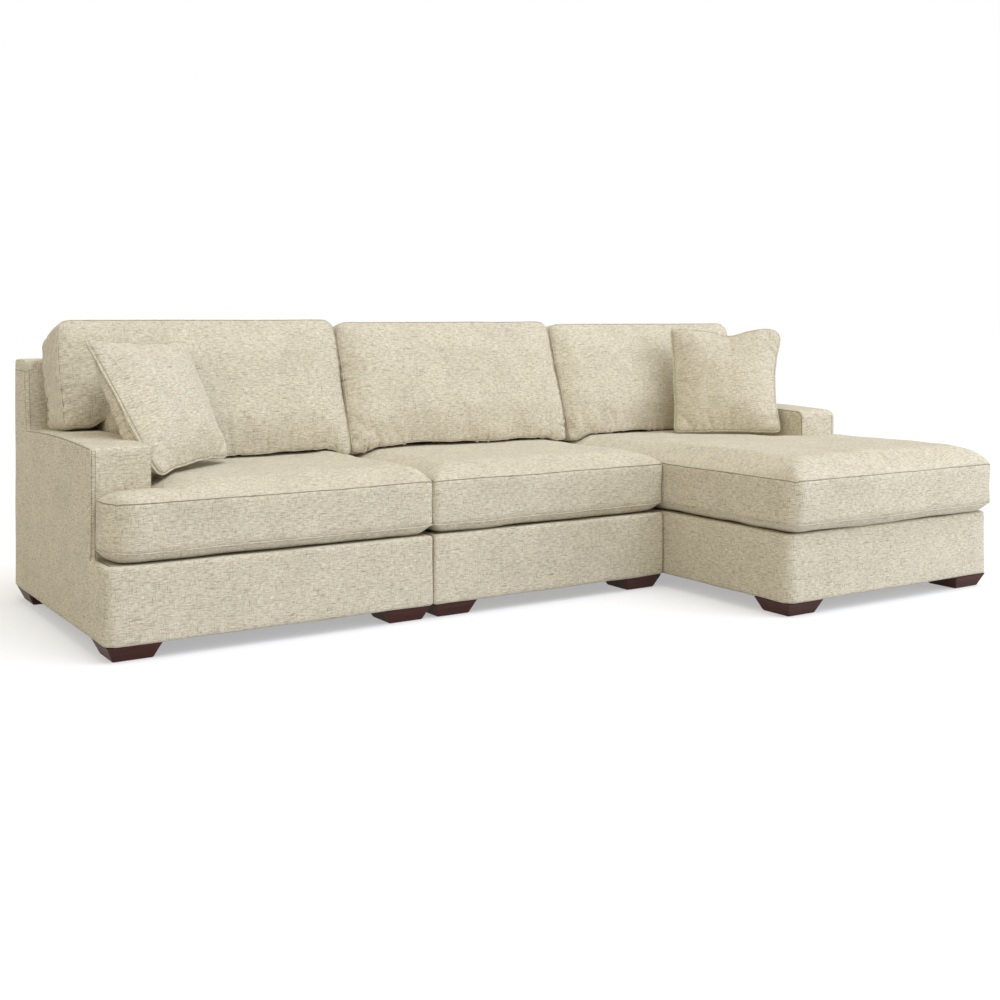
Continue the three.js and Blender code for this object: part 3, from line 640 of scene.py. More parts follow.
seams = {
    "weltRadius": 1.9 * mm,
    "pillowRadius": 3.3 * mm,
    "pillowRise": 1.6 * mm,
    "edgeRadius": 1.5 * mm,
    "creaseRadius": 0.9 * mm,
    "creaseAside": 3.0 * mm,
    "weltStep": 6 * mm,
    "weltRise": 0.7 * mm,
    "proudRise": 2.4 * mm,
    "stitch": 4.2 * mm,
    "stitchGap": 2.8 * mm,
    "stitchRadius": 0.9 * mm,
    "stitchInsets": (5 * mm, 16 * mm),
    "stitchLift": 0.3 * mm,
    "threadLift": 0.2 * mm,
    "borderInset": 2 * mm,
    "borderDrop": 38 * mm,
    "borderGap": 3 * mm,
    "endGap": 4 * mm,
    "armSteps": 12,
    "lineStep": 12 * mm,
}


# Runs a Geometry Nodes tree along lines, given as lists of points and whether they close
def followLines(name, lines, treeAndValues, material):
    verts, edges = [], []
    for points, closed in lines:
        first = len(verts)
        verts += [tuple(point) for point in points]
        count = len(points)
        edges += [(first + k, first + k + 1) for k in range(count - 1)]
        if closed:
            edges.append((first + count - 1, first))
    mesh = bpy.data.meshes.new(name)
    mesh.from_pydata(verts, edges, [])
    obj = bpy.data.objects.new(name, mesh)
    bpy.context.scene.collection.objects.link(obj)
    tree, values = treeAndValues
    modifier = obj.modifiers.new("follow", "NODES")
    modifier.node_group = tree
    for identifier, value in values.items():
        modifier[identifier] = value
    applyModifiers(obj)
    work = bmesh.new()
    work.from_mesh(obj.data)
    bmesh.ops.recalc_face_normals(work, faces=work.faces)
    work.to_mesh(obj.data)
    work.free()
    if material.name not in obj.data.materials:
        obj.data.materials.append(material)
    return obj


# The tree of a welt, or of a dark line of painted seam shade, by the name of its radius
def weltOf(name, radius, segments, material):
    return seamTree(name, seams[radius], seams["weltStep"], segments, material)


weltTree = weltOf("weltAlongSeam", "weltRadius", 8, weave)
pillowTree = weltOf("weltAlongPillow", "pillowRadius", 8, weave)
edgeTree = weltOf("weltAlongEdge", "edgeRadius", 6, weave)
# Dark tubes of painted seam shade, laid in the creases beside the welts
seamShadeTree = weltOf("shadeLineAlongSeam", "creaseRadius", 5, seamThread)
paleShadeTree = weltOf("paleSeamShadeAlongSeam", "creaseRadius", 5, paleSeamShade)
rowTree = stitchTree(
    "stitchRow", seams["stitch"], seams["stitchGap"], seams["stitchRadius"], thread)


# Adds points to a line so that none are further apart than a step
def denser(points, step):
    out = [Vector(points[0])]
    for a, b in zip(points, points[1:]):
        a, b = Vector(a), Vector(b)
        count = max(1, math.ceil((b - a).length / step))
        out += [a.lerp(b, k / count) for k in range(1, count + 1)]
    return out


# Drops a line onto a surface and lifts it a little along the surface's normal
def ontoSurface(points, surface, lift):
    out = []
    for point in points:
        place, normal, _, _ = surface.find_nearest(point)
        out.append(place + normal * lift)
    return out


# Replaces the inner corners of a line by arcs
def roundedLine(points, radius, steps=5):
    points = [Vector(point) for point in points]
    out = [points[0]]
    for before, corner, after in zip(points, points[1:], points[2:]):
        reach = min(radius, (before - corner).length * 0.45, (after - corner).length * 0.45)
        start = corner + (before - corner).normalized() * reach
        end = corner + (after - corner).normalized() * reach
        for step in range(steps + 1):
            t = step / steps
            out.append(start * (1 - t) ** 2 + corner * 2 * t * (1 - t) + end * t * t)
    out.append(points[-1])
    return out


# The sewn edges of a section: the borders of its arm and back, its outside back, and painted seam
# shade beside the arm borders
def skinSeams(section):
    baseLow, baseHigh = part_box(f"{section}_base_cover")
    backLow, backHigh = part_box(f"{section}_back_cover")
    front = backLine(section)
    inset = seams["borderInset"]
    rear, top = backHigh.y - inset, backHigh.z - inset
    welts, rows, creases = [], [], []

    def backBorder(x, low):
        return [(x, front(z) + inset, z) for z in (low, (low + top) / 2, top)] + [(x, rear, top)]

    if section in armOf:
        armLow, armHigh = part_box(armOf[section])
        roll = armRolls[section]
        left = section == "left"
        outer, inner = (armLow.x, armHigh.x) if left else (armHigh.x, armLow.x)
        inward = 1 if left else -1
        meet = front(armHigh.z)

        def armBorder(x, low, aside=0):
            ys = np.linspace(armLow.y + aside, meet, seams["armSteps"])
            line = [(x, armLow.y + aside, low)]
            line += [(x, y, armHigh.z - aside + armCrownAt(section, y)) for y in ys]
            return roundedLine(line, roll["edge"] * roll["front"] * 1.4)

        for x in (outer, inner):
            welts.append(armBorder(x, baseHigh.z))
            # A line of painted seam shade beside each arm welt
            creases.append(armBorder(x, baseHigh.z, seams["creaseAside"] * 1.3))
        welts.append(backBorder(outer, armHigh.z + inset))
        for aside in seams["stitchInsets"]:
            x = outer + inward * aside
            rows.append([(x, armLow.y, baseHigh.z), (x, armLow.y, armHigh.z - roll["edge"])])
        low, high = armHigh.z + seams["borderGap"], backHigh.z - seams["borderDrop"]
        side, face = seams["stitchInsets"]
        rows.append([(outer, backHigh.y - seams["endGap"], high)]
                    + [(outer, front(z) + side, z) for z in (high, low)])
        rows.append([(outer + inward * face, front(z), z) for z in (low, high)])
    else:
        welts.append(backBorder(backLow.x, baseHigh.z))
    farSide = backLow.x if section == "chaise" else backHigh.x
    welts.append(backBorder(farSide, baseHigh.z))
    left, right = backLow.x + inset, backHigh.x - inset
    low = baseLow.z + seams["endGap"]
    welts.append([(left, rear, low), (left, rear, top), (right, rear, top), (right, rear, low)])
    return welts, rows, creases


def makeSkinSeams(section):
    surface = surfaceOf(skins[section])
    welts, rows, creases = skinSeams(section)

    def laid(lines, lift=0):
        dense = [denser(line, seams["lineStep"]) for line in lines]
        return [(ontoSurface(line, surface, lift), False) for line in dense]

    made = [followLines(f"{section}EdgeWelts", laid(welts), edgeTree, weave)]
    boxWeaveMap(made[0])
    if rows:
        lines = laid(rows, seams["stitchLift"])
        made.append(followLines(f"{section}TopStitching", lines, rowTree, thread))
    if creases:
        # The creases get dark lines of painted seam shade
        made.append(followLines(f"{section}ArmSeamThread", laid(creases), seamShadeTree, seamThread))
    sewTo(made, f"{section}_section")


for section in sections:
    makeSkinSeams(section)
print("skin seams sewn")


# Cushions: a net of cells over joined rectangles, inflated as cloth

def gridLines(marks, spacing):
    lines = [marks[0]]
    for a, b in zip(marks, marks[1:]):
        count = max(2, round((b - a) / spacing))
        lines += [a + (b - a) * k / count for k in range(1, count + 1)]
    return lines


def roundCorner(point, corner):
    x, y, inX, inY, radius = corner
    across, along = inX * (point[0] - x), inY * (point[1] - y)
    if across >= radius or along >= radius:
        return point
    a, b = 1 - across / radius, 1 - along / radius
    roundA, roundB = a * math.sqrt(1 - b * b / 2), b * math.sqrt(1 - a * a / 2)
    return (x + inX * radius * (1 - roundA), y + inY * radius * (1 - roundB))


# How far each point lies from the nearest edge of the plan
def insideDistance(points, segments):
    nearest = np.full(len(points), 1e9)
    for ax, ay, bx, by in segments:
        x = np.clip(points[:, 0], min(ax, bx), max(ax, bx))
        y = np.clip(points[:, 1], min(ay, by), max(ay, by))
        nearest = np.minimum(nearest, np.hypot(points[:, 0] - x, points[:, 1] - y))
    return nearest


def crownRise(distance, width, steepness):
    return 1 - (1 - np.minimum(1, distance / width)) ** steepness


# 0 at the corners of the plan and 1 away from them
def cornerFade(points, corners, reach):
    if reach == 0:
        return np.ones(len(points))
    nearest = np.min([np.hypot(points[:, 0] - c[0], points[:, 1] - c[1]) for c in corners], axis=0)
    return 1 - np.exp(-(nearest / reach) ** 1.5)


# Where each spot of a panel lies along an axis, measured over its crown from the middle
def panelLengths(spots, heights, marks, middle, axis):
    lines, out = {}, {}
    for spot in spots:
        lines.setdefault(spot[1 - axis], []).append(spot)
    for line in lines.values():
        line.sort(key=lambda spot: spot[axis])
        start = min(range(len(line)), key=lambda k: abs(marks[line[k][axis]] - middle))
        for way in (line[start:], line[start::-1]):
            run = marks[way[0][axis]]
            out[way[0]] = run
            for before, spot in zip(way, way[1:]):
                step = marks[spot[axis]] - marks[before[axis]]
                run += math.copysign(math.hypot(step, heights[spot] - heights[before]), step)
                out[spot] = run
    return out


# Verts, faces and weave map of a boxed cushion, and the order of its two seams
def cushionNet(plan):
    rects, spacing = plan["rectangles"], plan["spacing"]
    xs = gridLines(sorted({v for r in rects for v in r[:2]}), spacing)
    ys = gridLines(sorted({v for r in rects for v in r[2:]}), spacing)

    def filled(i, j):
        if i < 0 or j < 0 or i >= len(xs) - 1 or j >= len(ys) - 1:
            return False
        x, y = (xs[i] + xs[i + 1]) / 2, (ys[j] + ys[j + 1]) / 2
        return any(r[0] < x < r[1] and r[2] < y < r[3] for r in rects)

    cells, following = [], {}
    for i in range(len(xs) - 1):
        for j in range(len(ys) - 1):
            if not filled(i, j):
                continue
            cells.append((i, j))
            if not filled(i, j - 1):
                following[(i, j)] = (i + 1, j)
            if not filled(i + 1, j):
                following[(i + 1, j)] = (i + 1, j + 1)
            if not filled(i, j + 1):
                following[(i + 1, j + 1)] = (i, j + 1)
            if not filled(i - 1, j):
                following[(i, j + 1)] = (i, j)
    start = min(following)
    border = [start]
    while following[border[-1]] != start:
        border.append(following[border[-1]])
    segments = [(xs[a[0]], ys[a[1]], xs[b[0]], ys[b[1]]) for a, b in following.items()]

    spots = sorted({(i + p, j + q) for i, j in cells for p in (0, 1) for q in (0, 1)})
    flat = np.array([(xs[i], ys[j]) for i, j in spots])
    inside = insideDistance(flat, segments)
    placed = {}
    for spot, place in zip(spots, flat):
        point = tuple(place)
        for corner in plan["corners"]:
            point = roundCorner(point, corner)
        placed[spot] = point

    low, high = plan["low"], plan["high"]
    levels = max(2, round((high - low) / spacing))
    topRise = plan["topCrown"] * crownRise(inside, plan["topWidth"], plan["steepness"])
    if "fuller" in plan:
        share = smoothStep((plan["fullerEnd"] - flat[:, 1]) / plan["fullerFade"])
        topRise *= 1 + (plan["fuller"] - 1) * share
    if "bulge" in plan:
        edge, size, width = plan["bulge"]
        apart = np.abs(flat[:, 0] - edge) / width
        topRise += size * (apart * np.exp(1 - apart)) ** 2 * crownRise(inside, width, 2)
    lowDrop = plan["underCrown"] * crownRise(inside, plan["underWidth"], plan["steepness"])
    lowDrop *= cornerFade(flat, plan["corners"], plan["cornerReach"])
    index, verts, depth, level = {}, [], [], []
    for number, spot in enumerate(spots):
        x, y = placed[spot]
        for which, z in ((levels, high + topRise[number]), (0, low - lowDrop[number])):
            index[spot + (which,)] = len(verts)
            verts.append((x, y, z))
            depth.append(inside[number])
            level.append(which)
    run, perimeter = 0.0, {}
    count = len(border)
    for k, spot in enumerate(border):
        perimeter[spot] = run
        before, after = placed[border[k - 1]], placed[border[(k + 1) % count]]
        tangent = Vector((after[0] - before[0], after[1] - before[1])).normalized()
        for which in range(1, levels):
            rise = which / levels
            swell = plan["swell"] + plan.get("topSwell", 0) * max(0, -tangent.x) ** 4
            bulge = swell * math.sin(math.pi * rise)
            index[spot + (which,)] = len(verts)
            verts.append((placed[spot][0] + tangent.y * bulge, placed[spot][1] - tangent.x * bulge,
                          low + (high - low) * rise))
            depth.append(0.0)
            level.append(which)
        run += math.dist(placed[spot], after)

    x0, x1, y0, y1 = rects[0]
    across, along = {}, {}
    for which, rise in ((levels, topRise), (0, lowDrop)):
        heights = dict(zip(spots, rise))
        across[which] = panelLengths(spots, heights, xs, (x0 + x1) / 2, 0)
        along[which] = panelLengths(spots, heights, ys, (y0 + y1) / 2, 1)
    faces, uvs = [], []
    for i, j in cells:
        around = [(i, j), (i + 1, j), (i + 1, j + 1), (i, j + 1)]
        for which, order in ((levels, around), (0, around[::-1])):
            faces.append(tuple(index[spot + (which,)] for spot in order))
            uvs += [(across[which][spot], along[which][spot]) for spot in order]
    for k, a in enumerate(border):
        b = border[(k + 1) % count]
        endRun = perimeter[b] if k < count - 1 else run
        for which in range(levels):
            z0 = low + (high - low) * which / levels
            z1 = low + (high - low) * (which + 1) / levels
            faces.append((index[a + (which,)], index[b + (which,)],
                          index[b + (which + 1,)], index[a + (which + 1,)]))
            uvs += [(perimeter[a], z0), (endRun, z0), (endRun, z1), (perimeter[a], z1)]
    return {
        "verts": np.array(verts), "faces": faces, "uvs": uvs,
        "depth": np.array(depth), "level": np.array(level), "levels": levels,
        "topSeam": [index[spot + (levels,)] for spot in border],
        "lowSeam": [index[spot + (0,)] for spot in border],
    }


# Which points of a net lie on its seams, on its boxing and inside its lower panel
def netParts(net):
    onBoxing = (net["level"] > 0) & (net["level"] < net["levels"])
    atSeam = (net["depth"] < 1e-6) & ~onBoxing
    return atSeam, onBoxing, (net["level"] == 0) & ~atSeam


# Runs Blender's cloth with pressure inside the piece and returns where its points go
def inflate(obj, weights, cloth):
    group = obj.vertex_groups.new(name="held")
    for weight in sorted(set(weights)):
        if weight > 0:
            group.add([int(k) for k in np.flatnonzero(weights == weight)], float(weight), "REPLACE")
    modifier = obj.modifiers.new("inflate", "CLOTH")
    settings = modifier.settings
    settings.quality = 5
    settings.mass = 0.25
    settings.tension_stiffness = cloth["stiffness"]
    settings.compression_stiffness = cloth["stiffness"] * 0.6
    settings.shear_stiffness = cloth["stiffness"] * 0.3
    settings.bending_stiffness = cloth["bending"]
    settings.air_damping = 2.0
    settings.use_pressure = True
    settings.uniform_pressure_force = cloth["pressure"]
    settings.shrink_min = -cloth["ease"]
    settings.vertex_group_mass = "held"
    settings.effector_weights.gravity = 0
    modifier.collision_settings.use_collision = False
    modifier.point_cache.frame_start = 1
    modifier.point_cache.frame_end = cloth["frames"]
    scene = bpy.context.scene
    for number in range(1, cloth["frames"] + 1):
        scene.frame_set(number)
    graph = bpy.context.evaluated_depsgraph_get()
    puffed = obj.evaluated_get(graph).to_mesh()
    flat = np.empty(len(puffed.vertices) * 3)
    puffed.vertices.foreach_get("co", flat)
    obj.evaluated_get(graph).to_mesh_clear()
    obj.modifiers.remove(modifier)
    obj.vertex_groups.clear()
    scene.frame_set(1)
    return flat.reshape(-1, 3)


def subdivided(obj):
    modifier = obj.modifiers.new("refine", "SUBSURF")
    modifier.levels = 1
    modifier.render_levels = 1
    modifier.uv_smooth = "PRESERVE_BOUNDARIES"
    return applyModifiers(obj)


# Short wrinkles that run off the seams and fade into the panels
def seamPuckers(obj, seamLines, pucker, seed, share):
    points, normals = pointsOf(obj), normalsOf(obj)
    samples, runs = [], []
    for line in seamLines:
        run = 0.0
        for a, b in zip(line, line[1:] + line[:1]):
            a, b = Vector(a), Vector(b)
            count = max(1, math.ceil((b - a).length / pucker["sample"]))
            for k in range(count):
                samples.append(a.lerp(b, k / count))
                runs.append(run + (b - a).length * k / count)
            run += (b - a).length
        run += 1.0
    tree = kdtree.KDTree(len(samples))
    for k, sample in enumerate(samples):
        tree.insert(sample, k)
    tree.balance()
    reach = pucker["reach"]
    near, along, far = [], [], []
    for k, point in enumerate(points):
        _, sample, distance = tree.find(point)
        if distance < reach * 4:
            near.append(k)
            along.append(runs[sample])
            far.append(distance)
    near, along, far = np.array(near), np.array(along), np.array(far)
    line = np.stack([along, np.zeros_like(along), np.zeros_like(along)], 1)
    length = pucker["wavelength"]
    fine = wander(line, length, seed) + 0.6 * wander(line, length * 0.6, seed + 1)
    where = np.clip(0.5 + 0.7 * wander(line, pucker["patch"], seed + 2), 0.1, 1.2)
    fade = np.exp(-far / (reach * (0.6 + 0.5 * where))) * (1 - np.exp(-far / pucker["start"]))
    dip = -pucker["dip"] * np.exp(-(far / pucker["dipWidth"]) ** 2)
    lift = np.zeros(len(points))
    lift[near] = pucker["depth"] * fine * where * fade * share[near] + dip
    movePoints(obj, points + normals * lift[:, None])


# Broad soft unevenness of a filled cushion
def crumple(obj, sizes, seed, share):
    points, normals = pointsOf(obj), normalsOf(obj)
    lift = np.zeros(len(points))
    for number, (size, length) in enumerate(sizes):
        lift += size * wander(points, length, seed + number)
    movePoints(obj, points + normals * (lift * share)[:, None])


def seamLinesOf(obj, net):
    points = pointsOf(obj)
    return [[tuple(points[k]) for k in net[key]] for key in ("topSeam", "lowSeam")]


# Builds a cushion, inflates it within its limits and wrinkles it where it isn't calm
def dressCushion(name, net, plan, weights, limits, seed, calm=None):
    obj = shownMesh(name, net["verts"], net["faces"], weave, net["uvs"])
    start = net["verts"]
    moved = inflate(obj, weights, plan["cloth"]) - start
    size = np.linalg.norm(moved, axis=1)
    share = np.minimum(1, limits / np.maximum(size, 1e-9))
    movePoints(obj, start + moved * share[:, None])
    subdivided(obj)
    points = pointsOf(obj)
    share = np.ones(len(points)) if calm is None else 1 - calm(points)
    crumple(obj, plan["crumple"], seed, share)
    seamPuckers(obj, seamLinesOf(obj, net), plan["pucker"], seed + 20, share)
    return obj


# Welts along both seams, and a dark line of painted seam shade beside the upper one, on the boxing
# or on the panel
def dressSeams(obj, net, body, onPanel):
    points, normals = pointsOf(obj), normalsOf(obj)
    surface = surfaceOf(obj)
    name = obj.name.replace("Cushion", "")
    high, low = points[net["topSeam"]], points[net["lowSeam"]]
    outward = normals[net["topSeam"]]
    welts = [(high + outward * seams["weltRise"], True),
             (low + normals[net["lowSeam"]] * seams["proudRise"], True)]
    way = low - high
    way /= np.linalg.norm(way, axis=1)[:, None]
    if onPanel:
        way = (outward * way).sum(1)[:, None] * way - outward
        way /= np.linalg.norm(way, axis=1)[:, None]
    crease = ontoSurface(high + way * seams["creaseAside"], surface, seams["threadLift"])
    made = [followLines(f"{name}Welts", welts, weltTree, weave),
            followLines(f"{name}SeamThread", [(crease, True)], seamShadeTree, seamThread)]
    boxWeaveMap(made[0])
    sewTo(made, body)


# Seat cushions

seat = {
    "spacing": 14 * mm,
    "lowSeam": 304 * mm,
    "highSeam": 446 * mm,
    "crown": 44 * mm,
    "crownWidth": 205 * mm,
    "roll": 90 * mm,
    "steepness": 6.5,
    "cornerReach": 30 * mm,
    "corner": 10 * mm,
    "chaiseCorner": 44 * mm,
    "earCorner": 92 * mm,
    "armGap": 4 * mm,
    "sideGap": 2 * mm,
    "swell": 0.0,
    "rises": {"left": 4 * mm, "middle": 0, "chaise": 20 * mm},
    "bulge": 17 * mm,
    "bulgeWidth": 52 * mm,
    "chaiseFade": 260 * mm,
    "cloth": {"pressure": 4.0, "stiffness": 15, "bending": 0.6, "ease": 0.012, "frames": 20},
    "cap": 16 * mm,
    "sideCap": 2 * mm,
    "underHold": 0.9,
    "underCap": 0.5 * mm,
    "crumple": ((1.6 * mm, 300 * mm), (0.7 * mm, 120 * mm)),
    "pucker": {"sample": 4 * mm, "reach": 15 * mm, "wavelength": 17 * mm, "patch": 160 * mm,
               "depth": 0.8 * mm, "dip": 1.2 * mm, "dipWidth": 5 * mm,
               "start": 3 * mm},
}


# The plan of a seat cushion, read from its node; an ear lies before the arm
def seatPlan(section):
    low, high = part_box(f"{section}_seat_cushion")
    corner = seat["corner"]
    if section == "middle":
        x0, x1 = low.x, high.x
        rects = [(x0, x1, low.y, high.y)]
        corners = [(x0, low.y, 1, 1, corner), (x1, low.y, -1, 1, corner)]
    else:
        armLow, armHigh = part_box(armOf[section])
        earBack = armLow.y - seat["armGap"]
        if section == "left":
            x0, x1 = armHigh.x + seat["sideGap"], high.x
            rects = [(x0, x1, low.y, high.y), (low.x, x0, low.y, earBack)]
            corners = [(low.x, low.y, 1, 1, seat["earCorner"]), (x1, low.y, -1, 1, corner)]
        else:
            x0, x1 = low.x, armLow.x - seat["sideGap"]
            rects = [(x0, x1, low.y, high.y), (x1, high.x, low.y, earBack)]
            corners = [(x0, low.y, 1, 1, seat["chaiseCorner"]), (high.x, low.y, -1, 1, corner),
                       (high.x, earBack, -1, -1, corner)]
    corners += [(x0, high.y, 1, -1, corner), (x1, high.y, -1, -1, corner)]
    extra = {}
    if section == "left":
        extra = {"bulge": (x1, seat["bulge"], seat["bulgeWidth"])}
    if section == "chaise":
        extra = {"fuller": 1 + seat["rises"]["chaise"] / (high.z - seat["highSeam"]),
                 "fullerEnd": armLow.y + seat["chaiseFade"] * 0.5, "fullerFade": seat["chaiseFade"]}
    return {
        **{key: value for key, value in seat.items() if key != "bulge"}, **extra,
        "rectangles": rects, "corners": corners, "low": seat["lowSeam"], "high": seat["highSeam"],
        "topCrown": seat["crown"], "topWidth": seat["crownWidth"],
        "underCrown": seat["lowSeam"] - low.z, "underWidth": seat["roll"],
    }


def makeSeat(section, seed):
    plan = seatPlan(section)
    net = cushionNet(plan)
    atSeam, onBoxing, under = netParts(net)
    weights = np.where(atSeam, 1.0, np.where(under, plan["underHold"], 0.0))
    limits = np.where(onBoxing, plan["sideCap"], np.where(under, plan["underCap"], plan["cap"]))
    obj = dressCushion(f"{section}SeatCushion", net, plan, weights, limits, seed)
    low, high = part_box(f"{section}_seat_cushion")
    points = pointsOf(obj)
    top = points[:, 2] > plan["high"]
    share = (high.z + seat["rises"][section] - plan["high"]) / (points[:, 2].max() - plan["high"])
    points[top, 2] = plan["high"] + (points[top, 2] - plan["high"]) * share
    movePoints(obj, points)
    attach(obj, f"{section}_seat")
    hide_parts(f"{section}_seat_cushion")
    dressSeams(obj, net, f"{section}_seat", False)
    print(obj.name, len(obj.data.polygons), "crown scaled by", round(share, 3))
    return obj


seats = {section: makeSeat(section, 100 + number * 40) for number, section in enumerate(sections)}


# Back cushions, made lying down and then leaned on the backs

back = {
    "spacing": 11 * mm,
    "height": 482 * mm,
    "boxing": 182 * mm,
    "frontCrown": 30 * mm,
    "rearCrown": 52 * mm,
    "crownWidth": 190 * mm,
    "steepness": 3.2,
    "cornerReach": 0,
    "corner": 44 * mm,
    "footCorner": 16 * mm,
    "earCorner": 18 * mm,
    "earLift": 4 * mm,
    "sideGap": 3 * mm,
    "armGap": 6 * mm,
    "swell": 2 * mm,
    "topSwell": 6 * mm,
    "lean": 18,
    "footSteepness": 3,
    "cloth": {"pressure": 4.0, "stiffness": 12, "bending": 0.4, "ease": 0.02, "frames": 20},
    "cap": 16 * mm,
    "sideCap": 2 * mm,
    "crumple": ((2.2 * mm, 260 * mm), (1.0 * mm, 110 * mm)),
    "pucker": {"sample": 4 * mm, "reach": 26 * mm, "wavelength": 19 * mm, "patch": 140 * mm,
               "depth": 2.3 * mm, "dip": 1.4 * mm, "dipWidth": 5 * mm,
               "start": 3 * mm},
    "topLift": {"left": 8 * mm, "middle": -1 * mm, "chaise": -11 * mm},
    "valley": 27 * mm,
    "valleyFade": 110 * mm,
    "seatMargin": 7 * mm,
    "pressed": 3 * mm,
    "earDrop": 24 * mm,
    "earSlope": 0.17,
    "earSag": 34 * mm,
    "earFade": 150 * mm,
    "earReach": 60 * mm,
    "calmTop": 0.85,
    "livelyFoot": 0.9,
    "livelyLeft": 0.6,
}


def backPlan(section):
    low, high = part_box(f"{section}_back_cushion")
    corner, foot, ear = back["corner"], back["footCorner"], back["earCorner"]
    x0, x1, top = low.x + back["sideGap"], high.x - back["sideGap"], back["height"]
    if section == "middle":
        rects = [(x0, x1, 0, top)]
        corners = [(x0, 0, 1, 1, foot), (x1, 0, -1, 1, foot)]
    else:
        armLow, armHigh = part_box(armOf[section])
        lean = math.radians(back["lean"])
        earRise = armHigh.z + back["earLift"] + math.sin(lean) * back["boxing"] - low.z
        earLow = earRise / math.cos(lean) - back["earDrop"]
        if section == "left":
            body = armHigh.x + back["armGap"]
            rects = [(body, x1, 0, top), (x0, body, earLow, top)]
            corners = [(body, 0, 1, 1, foot), (x1, 0, -1, 1, foot), (x0, earLow, 1, 1, ear)]
        else:
            body = armLow.x - back["armGap"]
            rects = [(x0, body, 0, top), (body, x1, earLow, top)]
            corners = [(x0, 0, 1, 1, foot), (body, 0, -1, 1, foot), (x1, earLow, -1, 1, ear)]
    corners += [(x0, top, 1, -1, corner), (x1, top, -1, -1, corner)]
    return {
        **back, "rectangles": rects, "corners": corners,
        "low": -back["boxing"] / 2, "high": back["boxing"] / 2,
        "topCrown": back["frontCrown"], "topWidth": back["crownWidth"],
        "underCrown": back["rearCrown"], "underWidth": back["crownWidth"],
    }


# The foot of a leaning cushion lies flat on the seat
def flattenFoot(points):
    lean = math.radians(back["lean"])
    fade = (1 - np.clip(points[:, 1] / back["height"], 0, 1)) ** back["footSteepness"]
    out = points.copy()
    out[:, 1] += (back["boxing"] / 2 - points[:, 2]) * math.tan(lean) * fade
    return out


def standUp(points):
    turn = Matrix.Rotation(math.pi / 2 - math.radians(back["lean"]), 3, "X")
    return points @ np.array(turn).T


# The foot settles on the seat cushion under it, down to its side seams
def settleFoot(points, section, low):
    surface = surfaceOf(seats[section])
    seatLow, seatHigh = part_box(f"{section}_seat_cushion")
    margin = back["seatMargin"]
    left, right = seatLow.x, seatHigh.x
    if section in armOf:
        armLow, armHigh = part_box(armOf[section])
        left, right = (armHigh.x, right) if section == "left" else (left, armLow.x)
    out = points.copy()
    near = (points[:, 0] > left) & (points[:, 0] < right)
    near &= points[:, 2] < low + back["valleyFade"]
    for k in np.flatnonzero(near):
        x = min(max(points[k, 0], left + margin), right - margin)
        y = min(points[k, 1], seatHigh.y - margin)
        place = surface.ray_cast(Vector((x, y, 1)), Vector((0, 0, -1)))[0]
        fall = np.clip(place.z - back["pressed"] - low, -back["valley"], back["pressed"])
        out[k, 2] += fall * (1 - smoothStep((points[k, 2] - low) / back["valleyFade"]))
    return out


# The ear hangs down to the arm, more at its front than at its rear
def settleEar(points, section):
    if section not in armOf:
        return points
    armLow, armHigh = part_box(armOf[section])
    over = points[:, 0] < armHigh.x if section == "left" else points[:, 0] > armLow.x
    rear = points[over & (points[:, 2] < armHigh.z + back["earReach"]), 1].max()
    sag = np.clip((rear - points[:, 1]) * back["earSlope"], 0, back["earSag"])
    fade = 1 - smoothStep((points[:, 2] - armHigh.z) / back["earFade"])
    edge = (armHigh.x - points[:, 0]) if section == "left" else (points[:, 0] - armLow.x)
    out = points.copy()
    out[:, 2] -= sag * fade * smoothStep(edge / back["earReach"] + 0.3)
    return out


def makeBack(section, seed):
    plan = backPlan(section)
    net = cushionNet(plan)
    atSeam, onBoxing, _ = netParts(net)
    weights = np.where(atSeam, 1.0, 0.0)
    limits = np.where(onBoxing, plan["sideCap"], plan["cap"])
    half = back["height"] / 2

    # The wrinkles are weaker near the top, and stronger at the foot and at the left
    def calm(points):
        low = 1 - smoothStep(points[:, 1] / (half * 0.6))
        left = 1 - smoothStep((points[:, 0] - points[:, 0].min()) / half)
        high = smoothStep((points[:, 1] - half * 1.5) / (half * 0.3))
        lively = back["livelyLeft"] * left * (1 - high)
        return back["calmTop"] * high - back["livelyFoot"] * low - lively

    obj = dressCushion(f"{section}BackCushion", net, plan, weights, limits, seed, calm)
    low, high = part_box(f"{section}_back_cushion")
    top = Vector((high.x, high.y, high.z + back["topLift"][section]))
    points = fitBox(standUp(flattenFoot(pointsOf(obj))), low, top, "yz")
    movePoints(obj, settleEar(settleFoot(points, section, low.z), section))
    obj.data.shade_smooth()
    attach(obj, f"{section}_back")
    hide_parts(f"{section}_back_cushion")
    dressSeams(obj, net, f"{section}_back", True)
    print(obj.name, len(obj.data.polygons))


for number, section in enumerate(sections):
    makeBack(section, 300 + number * 40)


# Throw pillows: two panels sewn together and filled

pillow = {
    "spacing": 11 * mm,
    "size": 462 * mm,
    "seam": 8 * mm,
    "puff": 46 * mm,
    "puffWidth": 231 * mm,
    "steepness": 2.6,
    "cornerReach": 0,
    "swell": 0.0,
    "notchWidth": 0.30,
    "settledDepth": 25 * mm,
    "cloth": {"pressure": 5.0, "stiffness": 10, "bending": 0.3, "ease": 0.035, "frames": 20},
    "cap": 38 * mm,
    "crumple": ((2.0 * mm, 170 * mm), (0.9 * mm, 70 * mm)),
    "pucker": {"sample": 4 * mm, "reach": 24 * mm, "wavelength": 18 * mm, "patch": 110 * mm,
               "depth": 1.7 * mm, "dip": 1.0 * mm, "dipWidth": 5 * mm,
               "start": 3 * mm},
}
